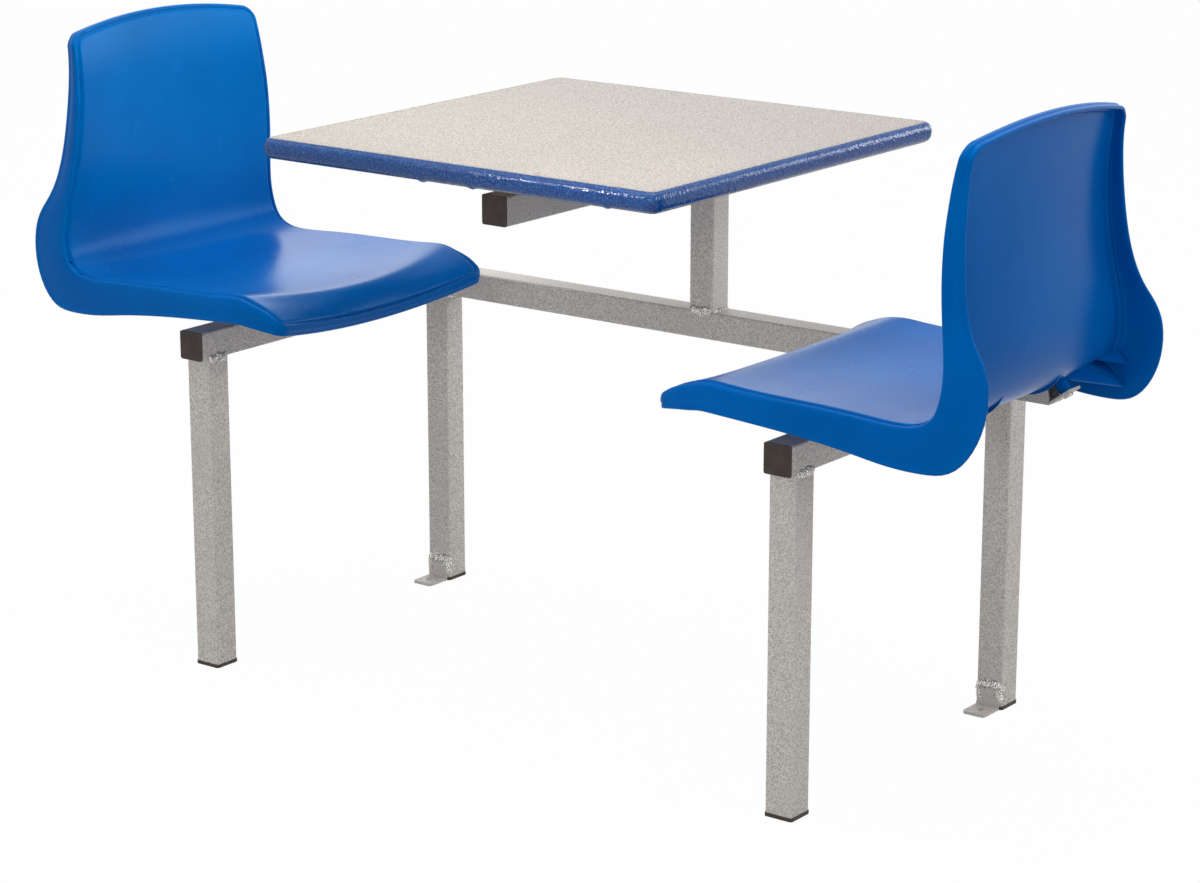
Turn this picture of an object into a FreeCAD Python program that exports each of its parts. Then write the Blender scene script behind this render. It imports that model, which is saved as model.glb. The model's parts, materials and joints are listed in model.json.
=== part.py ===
"""Table with two attached swivel seats: a welded square-tube frame, a square laminate table top
on a cantilever tube, and two moulded seat shells that turn on pivots in the side rails.

Frame of the part, in millimetres: the origin is on the floor under the middle of the table top,
+X points to the right seat, +Y to the rear, where the post stands, and +Z up. Each seat is drawn
in its own frame: +X from the pivot towards the table, +Y to the rear of the part, +Z up."""
import FreeCAD, Part
import math
import os
from FreeCAD import Placement, Rotation, Vector

os.makedirs("parts", exist_ok=True)
doc = FreeCAD.newDocument("table_with_swivel_seats")

SIZES = {
    # square tubes of the frame
    "tube_side": 38, "tube_wall": 2, "tube_corner": 3,
    "rail_spacing": 924, "rail_top": 463, "rail_overhang": 10,
    "leg_spacing": 488, "leg_middle": -5,
    # table support
    "support_top": 689, "support_front": -218, "support_overhang": 10,
    "bar_side": 25, "bar_wall": 2, "bar_corner": 2, "bar_length": 420, "bar_inset": 60,
    # caps, feet and floor tabs
    "cap_plate": 2, "plug_depth": 14, "plug_clearance": 0.1,
    "foot_plate": 4.5, "foot_ledge": 1,
    "tab_width": 32, "tab_reach": 40, "tab_plate": 4, "tab_rise": 30, "tab_hole": 9, "tab_corner": 4,
    # table top
    "table_side": 614, "edging_height": 26, "edging_width": 7.5, "edging_round": 6.5, "table_corner": 15,
    "laminate_thickness": 1, "screw_body": 4.5, "screw_head": 9, "screw_head_height": 3, "screw_bite": 18,
    "screw_offset": 120,
    # swivel: what stands still
    "seat_middle": -82, "base_side": 96, "base_plate": 5, "base_corner": 8,
    "sleeve_outer": 32, "sleeve_wall": 3, "bush_length": 13, "bush_flange": 2, "bush_flange_width": 3,
    "spindle": 20, "running_fit": 0.05, "running_gap": 0.3,
    "swivel_limit": 70, "stop_radius": 36, "stop_pin": 8, "stop_clearance": 0.5,
    # swivel: what turns
    "thrust_washer": 3.2, "thrust_washer_width": 8, "turn_plate": 4, "turn_plate_depth": 90,
    "turn_plate_corner": 10, "stud": 16, "lock_washer": 2.5, "lock_washer_outer": 30,
    "nut_across": 24, "nut_height": 8, "stud_end": 1.5, "fit_clearance": 0.1,
    # seat arms
    "arm_spacing": 216, "arm_width": 28, "arm_sheet": 3, "arm_front": 100, "arm_back": 188,
    "arm_gap": 1, "arm_tip_round": 5, "tongue_angle": 37, "tongue_length": 33,
    "front_screw": 82, "back_screw": 112, "shell_screw": 6, "shell_screw_head": 12,
    "shell_screw_head_height": 3, "boss": 16,
    # seat shell: side outline, from the pivot axis and the floor
    "shell_wall": 4, "shell_half_width": 213, "waist_half_width": 203, "waist_height": 560,
    "shoulder_half_width": 188, "shoulder_height": 690, "crown_half_width": 177, "crown_corner": 32,
    "crown_height": 848, "lip_reach": 169, "lip_height": 480, "brow_reach": 112, "brow_height": 523,
    "pan_back": 150, "pan_back_height": 513, "bend_reach": 207, "bend_height": 522,
    "lumbar_low_reach": 219, "lumbar_low_height": 575, "lumbar_reach": 206, "lumbar_height": 700,
    "back_top_reach": 222, "pan_dish": 12, "back_dish": 10, "crown_dish": 4, "lip_sag": 13,
    "lip_recess": 12,
    # seat shell: free edge of the side flange
    "skirt_front": 14, "skirt_depth": 31, "skirt_reach": 111, "skirt_low_reach": 125, "skirt_low_height": 476,
    "lobe_bottom": 468, "lobe_bottom_reach": 200, "lobe_corner_reach": 250, "lobe_corner_height": 485,
    "lobe_reach": 275, "lobe_top_reach": 250, "lobe_top_height": 612,
    "rim_depth": 15, "rib_thickness": 3, "rib_spacing": 130, "rib_outer_spacing": 300,
}

sheet = doc.addObject("Spreadsheet::Sheet", "sizes")
for row, (alias, value) in enumerate(SIZES.items(), start=1):
    sheet.set(f"A{row}", str(value))
    sheet.setAlias(f"A{row}", alias)
doc.recompute()


def size(alias):
    """A driving size as a number, for shapes that are built from points."""
    return float(getattr(sheet, alias))


def bind(target, **expressions):
    """Bind properties to the sheet. A bare alias stands for sizes.alias."""
    for path, text in expressions.items():
        words = [f"sizes.{word}" if word in SIZES else word for word in text.split()]
        target.setExpression(path, " ".join(words))


def place(target, x="0", y="0", z="0"):
    """Bind the position of an object to the sheet."""
    for path, text in (("Placement.Base.x", x), ("Placement.Base.y", y), ("Placement.Base.z", z)):
        bind(target, **{path: text})


nodes = []


def sub_part(target, label):
    """Register a finished object as one named piece of the part."""
    target.Label = label
    nodes.append(target)
    return target


# Heights and places that several pieces share, as expressions of the driving sizes.
RAIL_X = "rail_spacing / 2"
RAIL_UNDERSIDE = "rail_top - tube_side"
FRONT_LEG_Y = "leg_middle - leg_spacing / 2"
REAR_LEG_Y = "leg_middle + leg_spacing / 2"
TUBE_BORE = "tube_side - 2 * tube_wall"
RAIL_LENGTH = "leg_spacing + tube_side + 2 * rail_overhang"
RAIL_FRONT = "leg_middle - leg_spacing / 2 - tube_side / 2 - rail_overhang"
SUPPORT_REAR = "leg_middle + leg_spacing / 2 + tube_side / 2 + support_overhang"
TABLE_UNDERSIDE = "support_top + bar_side"
BASE_TOP = "rail_top + base_plate"
FLANGE_TOP = "rail_top + base_plate + bush_flange"
WASHER_BOTTOM = "rail_top + base_plate + bush_flange + running_gap"
TURN_PLATE_BOTTOM = "rail_top + base_plate + bush_flange + running_gap + thrust_washer"
ARM_BOTTOM = "rail_top + base_plate + bush_flange + running_gap + thrust_washer + turn_plate"
NUT_POCKET = "( bush_flange + running_gap + lock_washer + nut_height + stud_end )"
SLEEVE_BOTTOM = f"rail_top - tube_side + {NUT_POCKET}"
LOWER_FLANGE = f"{SLEEVE_BOTTOM} - bush_flange"
SHOULDER = f"{SLEEVE_BOTTOM} - bush_flange - running_gap"


# ---------------------------------------------------------------- building blocks

def body(name):
    return doc.addObject("PartDesign::Body", name)


def add_box(parent, length, width, height, x="0", y="0", z="0", cut=False):
    """A box centred on x and y that stands on z, added to a body or cut from it."""
    kind = "PartDesign::SubtractiveBox" if cut else "PartDesign::AdditiveBox"
    block = parent.newObject(kind, "block")
    bind(block, Length=length, Width=width, Height=height)
    place(block, f"{x} - ( {length} ) / 2", f"{y} - ( {width} ) / 2", z)
    return block


def add_cylinder(parent, diameter, height, x="0", y="0", z="0", cut=False):
    """An upright cylinder that stands on z, added to a body or cut from it."""
    kind = "PartDesign::SubtractiveCylinder" if cut else "PartDesign::AdditiveCylinder"
    round_piece = parent.newObject(kind, "round_piece")
    bind(round_piece, Radius=f"( {diameter} ) / 2", Height=height)
    place(round_piece, x, y, z)
    return round_piece


def round_edges(parent, feature, radius, wanted):
    """Fillet those edges of the last feature that the test function picks."""
    doc.recompute()
    names = [f"Edge{number}" for number, edge in enumerate(feature.Shape.Edges, start=1) if wanted(edge)]
    fillet = parent.newObject("PartDesign::Fillet", "rounding")
    fillet.Base = (feature, names)
    bind(fillet, Radius=radius)
    return fillet


def is_upright(edge):
    """True for a straight edge along Z."""
    ends = edge.Vertexes
    if len(ends) != 2:
        return False
    run = ends[1].Point - ends[0].Point
    return abs(run.z) > 0.99 * run.Length > 0


def tube(label, side, wall, corner, length):
    """A square tube along local Z from 0 to its length, with rounded corners."""
    piece = body(label)
    outside = add_box(piece, side, side, length)
    round_edges(piece, outside, corner, is_upright)
    bore = f"{side} - 2 * {wall}"
    add_box(piece, bore, bore, length, cut=True)
    return sub_part(piece, label)


ALONG_Y = Rotation(Vector(1, 0, 0), -90)
ALONG_X = Rotation(Vector(0, 1, 0), 90)


def lay(target, rotation, x, y, z):
    """Turn a piece that was built along Z, then bind its position."""
    target.Placement = Placement(Vector(0, 0, 0), rotation)
    place(target, x, y, z)


# ---------------------------------------------------------------- welded frame

def rail(label, sign):
    """A side rail with a bore across it for the welded pivot sleeve."""
    piece = tube(label, "tube_side", "tube_wall", "tube_corner", RAIL_LENGTH)
    bore = piece.newObject("PartDesign::SubtractiveCylinder", "sleeve_bore")
    bind(bore, Radius="sleeve_outer / 2 + fit_clearance", Height="tube_side + 2")
    bore.Placement = Placement(Vector(0, 0, 0), Rotation(Vector(1, 0, 0), 90))
    place(bore, "0", "tube_side / 2 + 1", f"seat_middle - ( {RAIL_FRONT} )")
    lay(piece, ALONG_Y, f"{sign} * {RAIL_X}", RAIL_FRONT, "rail_top - tube_side / 2")


for side_name, sign in (("left", -1), ("right", 1)):
    rail(f"{side_name}_seat_rail", sign)
    for end_name, leg_y in (("front", FRONT_LEG_Y), ("rear", REAR_LEG_Y)):
        leg = tube(f"{end_name}_{side_name}_leg", "tube_side", "tube_wall", "tube_corner",
                   f"{RAIL_UNDERSIDE} - foot_plate")
        place(leg, f"{sign} * {RAIL_X}", leg_y, "foot_plate")

beam = tube("cross_beam", "tube_side", "tube_wall", "tube_corner", "rail_spacing - tube_side")
lay(beam, ALONG_X, "( tube_side - rail_spacing ) / 2", REAR_LEG_Y, "rail_top - tube_side / 2")

post = tube("table_post", "tube_side", "tube_wall", "tube_corner", "support_top - tube_side - rail_top")
place(post, "0", REAR_LEG_Y, "rail_top")

support = tube("table_support_tube", "tube_side", "tube_wall", "tube_corner",
               f"{SUPPORT_REAR} - support_front")
lay(support, ALONG_Y, "0", "support_front", "support_top - tube_side / 2")

BAR_PLACES = (("front", "support_front + bar_inset"), ("rear", "- support_front - bar_inset"))
for end_name, bar_y in BAR_PLACES:
    bar = tube(f"{end_name}_table_crossbar", "bar_side", "bar_wall", "bar_corner", "bar_length")
    for sign in (-1, 1):
        hole = bar.newObject("PartDesign::SubtractiveCylinder", "screw_hole")
        bind(hole, Radius="screw_body / 2", Height="bar_side + 2")
        hole.Placement = Placement(Vector(0, 0, 0), Rotation(Vector(0, 1, 0), 90))
        place(hole, "- bar_side / 2 - 1", "0", f"bar_length / 2 + {sign} * screw_offset")
    lay(bar, ALONG_X, "- bar_length / 2", bar_y, "support_top + bar_side / 2")


# ---------------------------------------------------------------- caps, feet and floor tabs

def end_cap(label, rotation, x, y, z):
    """A plastic cap: a thin rounded plate outside the tube and a plug inside it."""
    piece = body(label)
    plate = add_box(piece, "tube_side", "tube_side", "cap_plate")
    round_edges(piece, plate, "tube_corner", is_upright)
    plug = f"{TUBE_BORE} - 2 * plug_clearance"
    add_box(piece, plug, plug, "plug_depth", z="cap_plate")
    lay(piece, rotation, x, y, z)
    sub_part(piece, label)


FACING_REAR = Rotation(Vector(1, 0, 0), -90)
FACING_FRONT = Rotation(Vector(1, 0, 0), 90)
for side_name, sign in (("left", -1), ("right", 1)):
    cap_x = f"{sign} * {RAIL_X}"
    cap_z = "rail_top - tube_side / 2"
    end_cap(f"{side_name}_rail_front_cap", FACING_REAR, cap_x, f"{RAIL_FRONT} - cap_plate", cap_z)
    end_cap(f"{side_name}_rail_rear_cap", FACING_FRONT, cap_x,
            f"{RAIL_FRONT} + {RAIL_LENGTH} + cap_plate", cap_z)
SUPPORT_Z = "support_top - tube_side / 2"
end_cap("support_tube_front_cap", FACING_REAR, "0", "support_front - cap_plate", SUPPORT_Z)
end_cap("support_tube_rear_cap", FACING_FRONT, "0", f"{SUPPORT_REAR} + cap_plate", SUPPORT_Z)


def foot(label, x, y):
    """A plastic foot: a plate a little wider than the leg, with a plug in its bore."""
    piece = body(label)
    width = "tube_side + 2 * foot_ledge"
    plate = add_box(piece, width, width, "foot_plate")
    round_edges(piece, plate, "tube_corner + foot_ledge", is_upright)
    plug = f"{TUBE_BORE} - 2 * plug_clearance"
    add_box(piece, plug, plug, "plug_depth", z="foot_plate")
    place(piece, x, y, "0")
    sub_part(piece, label)


def floor_tab(label, x):
    """An angle welded to the front face of a rear leg, with one hole for a floor bolt and a
    notch that clears the foot."""
    piece = body(label)
    flat = add_box(piece, "tab_width", "tab_reach", "tab_plate", y="- tab_reach / 2")
    outer = lambda edge: is_upright(edge) and edge.Vertexes[0].Point.y < -1
    round_edges(piece, flat, "tab_corner", outer)
    add_box(piece, "tab_width", "tab_plate", "tab_rise", y="- tab_plate / 2")
    add_cylinder(piece, "tab_hole", "tab_plate", y="- ( tab_reach + tab_plate ) / 2", cut=True)
    notch = "foot_ledge + running_gap"
    add_box(piece, "tab_width", notch, "foot_plate + running_gap", y=f"- ( {notch} ) / 2", cut=True)
    place(piece, x, f"{REAR_LEG_Y} - tube_side / 2", "0")
    sub_part(piece, label)


for side_name, sign in (("left", -1), ("right", 1)):
    for end_name, leg_y in (("front", FRONT_LEG_Y), ("rear", REAR_LEG_Y)):
        foot(f"{end_name}_{side_name}_foot", f"{sign} * {RAIL_X}", leg_y)
    floor_tab(f"{side_name}_floor_tab", f"{sign} * {RAIL_X}")


# ---------------------------------------------------------------- table top

BOARD_SIDE = "table_side - 2 * edging_width"
BOARD_CORNER = "table_corner - edging_width"


def sheet_layer(label, thickness, z):
    """One square layer of the top, inside the edging."""
    piece = body(label)
    slab = add_box(piece, BOARD_SIDE, BOARD_SIDE, thickness)
    round_edges(piece, slab, BOARD_CORNER, is_upright)
    place(piece, "0", "0", z)
    return sub_part(piece, label)


def pilot_holes(piece):
    """Holes in the backing and the core for the screws that come up through the cross bars."""
    for sign_x in (-1, 1):
        for _, bar_y in BAR_PLACES:
            add_cylinder(piece, "screw_body", "screw_bite", f"{sign_x} * screw_offset", bar_y, cut=True)


CORE_THICKNESS = "edging_height - 2 * laminate_thickness"
backing = sheet_layer("tabletop_backing", "laminate_thickness", TABLE_UNDERSIDE)
pilot_holes(backing)
core = sheet_layer("tabletop_core", CORE_THICKNESS, f"{TABLE_UNDERSIDE} + laminate_thickness")
pilot_holes(core)
sheet_layer("tabletop_laminate", "laminate_thickness", f"{TABLE_UNDERSIDE} + {CORE_THICKNESS} + laminate_thickness")

edging = body("edging_block")
ring = add_box(edging, "table_side", "table_side", "edging_height")
ring = round_edges(edging, ring, "table_corner", is_upright)


def is_outer_rim(edge):
    """True for the edges of the top and bottom faces."""
    heights = [vertex.Point.z for vertex in edge.Vertexes]
    return max(heights) - min(heights) < 0.01


round_edges(edging, ring, "edging_round", is_outer_rim)
hollow = body("edging_hollow")
inside = add_box(hollow, BOARD_SIDE, BOARD_SIDE, "edging_height")
round_edges(hollow, inside, BOARD_CORNER, is_upright)
edging_ring = doc.addObject("Part::Cut", "edging_ring")
edging_ring.Base = edging
edging_ring.Tool = hollow
place(edging_ring, "0", "0", TABLE_UNDERSIDE)
sub_part(edging_ring, "tabletop_edging")


def wood_screw(x, y, z):
    """A countersunk screw, point up: head under the cross bar, shank through it into the board."""
    reach = size("bar_side") + size("screw_bite")
    shank = Part.makeCylinder(size("screw_body") / 2 - size("plug_clearance"), reach, Vector(x, y, z))
    head = Part.makeCylinder(size("screw_head") / 2, size("screw_head_height"),
                             Vector(x, y, z - size("screw_head_height")))
    return head.fuse(shank)


# ---------------------------------------------------------------- swivel, the still half

SEATS = (("left", -1, 0), ("right", 1, 180))
SLEEVE_BORE = "sleeve_outer - 2 * sleeve_wall"


def at_seat(target, sign, turn, z="0"):
    """Put a piece that is drawn in the seat's frame on its rail."""
    lay(target, Rotation(Vector(0, 0, 1), turn), f"{sign} * {RAIL_X}", "seat_middle", z)


def hollow_cylinder(label, outer, bore, height):
    """A washer or sleeve that stands on its own origin."""
    piece = body(label)
    add_cylinder(piece, outer, height)
    add_cylinder(piece, bore, height, cut=True)
    return sub_part(piece, label)


def swivel_base(label):
    """A plate on the rail with a hole for the sleeve and a curved slot that stops the pin."""
    piece = body(label)
    plate = add_box(piece, "base_side", "base_side", "base_plate")
    round_edges(piece, plate, "base_corner", is_upright)
    add_cylinder(piece, "sleeve_outer + 2 * fit_clearance", "base_plate", cut=True)
    doc.recompute()
    section = piece.newObject("Sketcher::SketchObject", "slot_section")
    xz_plane = next(item for item in piece.Origin.OriginFeatures if item.Role == "XZ_Plane")
    section.AttachmentSupport = [(xz_plane, "")]
    section.MapMode = "FlatFace"
    inner = size("stop_radius") - size("stop_pin") / 2 - size("stop_clearance")
    outer = size("stop_radius") + size("stop_pin") / 2 + size("stop_clearance")
    top = size("base_plate") + 1
    corners = [Vector(-outer, -1, 0), Vector(-inner, -1, 0), Vector(-inner, top, 0), Vector(-outer, top, 0)]
    for start, end in zip(corners, corners[1:] + corners[:1]):
        section.addGeometry(Part.LineSegment(start, end))
    slot = piece.newObject("PartDesign::Groove", "stop_slot")
    slot.Profile = section
    slot.ReferenceAxis = (section, ["V_Axis"])
    slot.Midplane = True
    half_turn = "swivel_limit * 1deg + asin( ( stop_pin / 2 + stop_clearance ) / stop_radius )"
    bind(slot, Angle=f"2 * ( {half_turn} )")
    piece.Tip = slot
    return sub_part(piece, label)


def flanged_bush(name, flange_first):
    """A plain bearing bush with a flange at its lower or upper end, standing on its own origin."""
    piece = body(name)
    shell = f"{SLEEVE_BORE} - 2 * fit_clearance"
    flange = f"{SLEEVE_BORE} + 2 * bush_flange_width"
    add_cylinder(piece, shell, "bush_length + bush_flange")
    add_cylinder(piece, flange, "bush_flange", z="0" if flange_first else "bush_length")
    add_cylinder(piece, "spindle + 2 * running_fit", "bush_length + bush_flange", cut=True)
    return piece


def group(label, members):
    """Several separate solids of one kind in one node."""
    bundle = doc.addObject("Part::Compound", label)
    bundle.Links = members
    return sub_part(bundle, label)


for side_name, sign, turn in SEATS:
    sleeve = hollow_cylinder(f"{side_name}_pivot_sleeve", "sleeve_outer", SLEEVE_BORE,
                             f"tube_side + base_plate - {NUT_POCKET}")
    at_seat(sleeve, sign, turn, SLEEVE_BOTTOM)
    at_seat(swivel_base(f"{side_name}_swivel_base"), sign, turn, "rail_top")
    lower_bush = flanged_bush(f"{side_name}_lower_bush", True)
    place(lower_bush, z=LOWER_FLANGE)
    upper_bush = flanged_bush(f"{side_name}_upper_bush", False)
    place(upper_bush, z=f"{BASE_TOP} - bush_length")
    at_seat(group(f"{side_name}_pivot_bushes", [lower_bush, upper_bush]), sign, turn)


# ---------------------------------------------------------------- swivel, the half that turns

def pivot_spindle(label):
    """A round spindle down through the rail, with a threaded stud under its shoulder."""
    piece = body(label)
    stud_length = "lock_washer + nut_height + stud_end"
    add_cylinder(piece, "stud", f"{stud_length} + 1", z=f"- ( {stud_length} )")
    add_cylinder(piece, "spindle", f"( {ARM_BOTTOM} ) - ( {SHOULDER} )")
    return sub_part(piece, label)


def turn_plate(label):
    """The plate that the arms are welded to, with holes for the spindle and the stop pin."""
    piece = body(label)
    plate = add_box(piece, "turn_plate_depth", "arm_spacing + arm_width", "turn_plate")
    round_edges(piece, plate, "turn_plate_corner", is_upright)
    add_cylinder(piece, "spindle + 2 * fit_clearance", "turn_plate", cut=True)
    add_cylinder(piece, "stop_pin + 2 * fit_clearance", "turn_plate", x="- stop_radius", cut=True)
    return sub_part(piece, label)


def lock_nut(label):
    piece = body(label)
    hexagon = piece.newObject("PartDesign::AdditivePrism", "hexagon")
    hexagon.Polygon = 6
    bind(hexagon, Circumradius="nut_across / 2 / cos( 30deg )", Height="nut_height")
    add_cylinder(piece, "stud + 2 * fit_clearance", "nut_height", cut=True)
    return sub_part(piece, label)


def stop_pin(label):
    piece = body(label)
    add_cylinder(piece, "stop_pin", f"( {ARM_BOTTOM} ) - rail_top - stop_clearance", x="- stop_radius")
    return sub_part(piece, label)


# ---------------------------------------------------------------- seat shell

def side_line(share):
    """Points of the shell's face line, from the lip over the pan and the bend to the top of the back,
    at a share of the half width from the middle. The pan sags and the back bows towards the middle."""
    bow = 1 - share ** 2
    sag = size("pan_dish") * bow
    hollow_back = size("back_dish") * bow
    lip_x = size("lip_reach") - size("lip_recess") * bow
    lip_z = size("lip_height") - size("lip_sag") * bow
    brow = Vector(size("brow_reach"), 0, size("brow_height") - sag)
    pan_back = Vector(-size("pan_back"), 0, size("pan_back_height") - sag)
    pan_middle = (brow + pan_back) / 2
    return [
        Vector(lip_x - 3, 0, lip_z),
        Vector(lip_x + 1, 0, lip_z + size("skirt_front")),
        Vector((lip_x + brow.x) / 2 + 8, 0, (lip_z + size("skirt_front") + brow.z) / 2 + 6),
        brow,
        pan_middle,
        pan_back,
        Vector(-size("bend_reach") - hollow_back / 2, 0, size("bend_height") + 8 - sag / 2),
        Vector(-size("lumbar_low_reach") - hollow_back, 0, size("lumbar_low_height")),
        Vector(-size("lumbar_reach") - hollow_back, 0, size("lumbar_height")),
        Vector(-size("back_top_reach") - size("crown_dish") * bow, 0, size("crown_height") + 2),
    ]


def smooth(points):
    """A smooth curve through the points."""
    curve = Part.BSplineCurve()
    curve.interpolate(points)
    return curve


def offset_points(points, distance):
    """The points moved square to their smooth curve, towards the back and the underside."""
    curve = smooth(points)
    moved = []
    for point in points:
        along = curve.tangent(curve.parameter(point))[0]
        moved.append(point + Vector(along.z, 0, -along.x) * -distance)
    return moved


def strip(points, start, depth, y):
    """A closed strip in the plane y: the face line moved in by start, its offset, and two short ends."""
    front = [Vector(point.x, y, point.z) for point in offset_points(points, start)]
    rear = [Vector(point.x, y, point.z) for point in offset_points(points, depth)]
    edges = [
        smooth(front).toShape(),
        Part.LineSegment(front[-1], rear[-1]).toShape(),
        smooth(rear).toShape(),
        Part.LineSegment(rear[0], front[0]).toShape(),
    ]
    return Part.Wire(Part.__sortEdges__(edges))


def curved_slab(start, depth):
    """The dished panel of pan and back, wider than the shell, between two depths under its face."""
    half = size("shell_half_width") + 5
    shares = (-1, -0.75, -0.45, 0, 0.45, 0.75, 1)
    return Part.makeLoft([strip(side_line(share), start, depth, share * half) for share in shares], True)


def front_outline(inset):
    """The shell's outline from the front, as a closed wire in the plane x = 0."""
    side = [
        (size("shell_half_width"), size("lobe_bottom") - 30),
        (size("shell_half_width") - 1, size("brow_height") - 15),
        (size("waist_half_width"), size("waist_height")),
        (size("shoulder_half_width"), size("shoulder_height")),
        (size("crown_half_width"), size("crown_height") - size("crown_corner")),
        (size("crown_half_width") - 12, size("crown_height") - 18),
        (size("crown_half_width") - 50, size("crown_height") - 7),
        (0, size("crown_height")),
    ]
    points = [Vector(0, y - inset, z) for y, z in side[:5]]
    points.append(Vector(0, side[5][0] - inset * 0.7, side[5][1] - inset * 0.7))
    points.extend(Vector(0, y, z - inset) for y, z in side[6:])
    mirrored = [Vector(0, -point.y, point.z) for point in reversed(points[:-1])]
    arch = smooth(points + mirrored).toShape()
    base = Part.LineSegment(mirrored[-1], points[0]).toShape()
    return Part.Wire([arch, base])


def prism(wire, start, run):
    """A wire's face moved to start and extruded by run."""
    face = Part.Face(wire)
    face.translate(start)
    return face.extrude(run)


def lobe_middle():
    """Height where the lobe reaches furthest to the rear."""
    return (size("lobe_corner_height") + size("lobe_top_height")) / 2


def skirt_outline():
    """The side flange from the side, between the face line and the free edge with its lobe. Above the
    lobe it runs out inside the rim."""
    face_line = offset_points(side_line(1), size("shell_wall") * 0.8)
    lip = side_line(1)[0]
    free_edge = [
        Vector(lip.x, 0, lip.z),
        Vector(size("skirt_reach"), 0, size("brow_height") - size("skirt_depth")),
        Vector(-size("skirt_low_reach"), 0, size("skirt_low_height")),
        Vector(-size("lobe_bottom_reach"), 0, size("lobe_bottom")),
        Vector(-size("lobe_corner_reach"), 0, size("lobe_corner_height")),
        Vector(-size("lobe_reach"), 0, lobe_middle()),
        Vector(-size("lobe_top_reach"), 0, size("lobe_top_height")),
        Vector(-size("lumbar_reach") - size("rim_depth") * 0.8, 0,
               (size("lobe_top_height") + size("crown_height")) / 2),
    ]
    edges = [
        smooth(face_line).toShape(),
        Part.LineSegment(face_line[-1], free_edge[-1]).toShape(),
        smooth(free_edge).toShape(),
        Part.LineSegment(free_edge[0], face_line[0]).toShape(),
    ]
    return Part.Wire(Part.__sortEdges__(edges))


def rib(y):
    """A gusset behind the bend, between the pan and the back, in a plane across the seat."""
    points = offset_points(side_line(y / size("shell_half_width")), size("shell_wall") / 2)
    corner = [points[5] + Vector(0, 0, 3 * size("shell_wall")), points[7] + Vector(3 * size("shell_wall"), 0, 0)]
    low = size("lobe_bottom") + 20
    rear = -size("lobe_reach") + 22
    outline = corner + [Vector(rear, 0, lobe_middle()), Vector(rear + 8, 0, low + 12),
                        Vector(-size("pan_back") - 20, 0, low + 8)]
    wire = Part.makePolygon(outline + outline[:1])
    thickness = size("rib_thickness")
    return prism(wire, Vector(0, y - thickness / 2, 0), Vector(0, thickness, 0))


def tongue_frame():
    """The place of a screw through an arm's tongue, square to it."""
    angle = math.radians(size("tongue_angle"))
    along = size("tongue_length") * 0.65
    x = -size("arm_back") - along * math.cos(angle)
    z = arm_bottom() + along * math.sin(angle)
    return Placement(Vector(x, 0, z), Rotation(Vector(0, 1, 0), size("tongue_angle")))


def arm_bottom():
    """Height of the underside of the seat arms."""
    return (size("rail_top") + size("base_plate") + size("bush_flange") + size("running_gap")
            + size("thrust_washer") + size("turn_plate"))


def screw_places():
    """Where the shell screws stand: the foot of each, on the underside of an arm."""
    places = []
    for sign_y in (-1, 1):
        y = sign_y * size("arm_spacing") / 2
        for x in (size("front_screw"), -size("back_screw")):
            places.append(Placement(Vector(x, y, arm_bottom()), Rotation()))
        tilted = tongue_frame()
        tilted.Base.y = y
        places.append(tilted)
    return places


def upright(radius, low, high, where):
    """A cylinder between two heights above a screw's foot."""
    solid = Part.makeCylinder(radius, high - low, Vector(0, 0, low))
    solid.Placement = where.multiply(solid.Placement)
    return solid


def shell_shape():
    """One moulded shell: panel, rim, side flanges with lobes, gussets and screw bosses."""
    wall = size("shell_wall")
    half = size("shell_half_width") + 10
    start = Vector(-size("lobe_reach") - 50, 0, 0)
    across = Vector(2 * size("lobe_reach") + 100, 0, 0)
    inside = prism(front_outline(wall), start, across)
    flanges = [curved_slab(wall / 4, size("rim_depth")).cut(inside)]
    width = half - size("crown_half_width") + size("crown_corner") / 2
    for y in (-half, half - width):
        flanges.append(prism(skirt_outline(), Vector(0, y, 0), Vector(0, width, 0)).cut(inside))
    shell = curved_slab(0, wall).fuse(flanges)
    shell = shell.common(prism(front_outline(0), start, across))
    solids = [upright(size("boss") / 2, size("arm_sheet"), 60, where) for where in screw_places()]
    for spacing in (size("rib_spacing"), size("rib_outer_spacing")):
        solids += [rib(-spacing / 2), rib(spacing / 2)]
    space = below_panel()
    shell = shell.fuse([solid.common(space) for solid in solids])
    holes = [upright(size("shell_screw") / 2 + size("fit_clearance"), 0, size("boss"), where)
             for where in screw_places()]
    return shell.cut(holes).removeSplitter()


def below_panel():
    """The space under the pan and behind the back, up to the middle of the panel."""
    half = size("shell_half_width")
    shares = (-1, -0.45, 0, 0.45, 1)
    floor_level = size("rail_top") - 2 * size("tube_side")
    wires = []
    for share in shares:
        line = offset_points(side_line(share), size("shell_wall") / 2)
        line = [Vector(point.x, share * half, point.z) for point in line]
        low = Vector(line[0].x, share * half, floor_level)
        rear = Vector(-size("lobe_reach") - 100, share * half, floor_level)
        high = Vector(rear.x, share * half, line[-1].z)
        edges = [smooth(line).toShape()]
        for first, second in ((line[-1], high), (high, rear), (rear, low), (low, line[0])):
            edges.append(Part.LineSegment(first, second).toShape())
        wires.append(Part.Wire(Part.__sortEdges__(edges)))
    return Part.makeLoft(wires, True)


def solid_feature(label, shape):
    """A piece whose shape is worked out by a function above."""
    feature = doc.addObject("Part::Feature", label)
    feature.Shape = shape
    return sub_part(feature, label)


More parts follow.
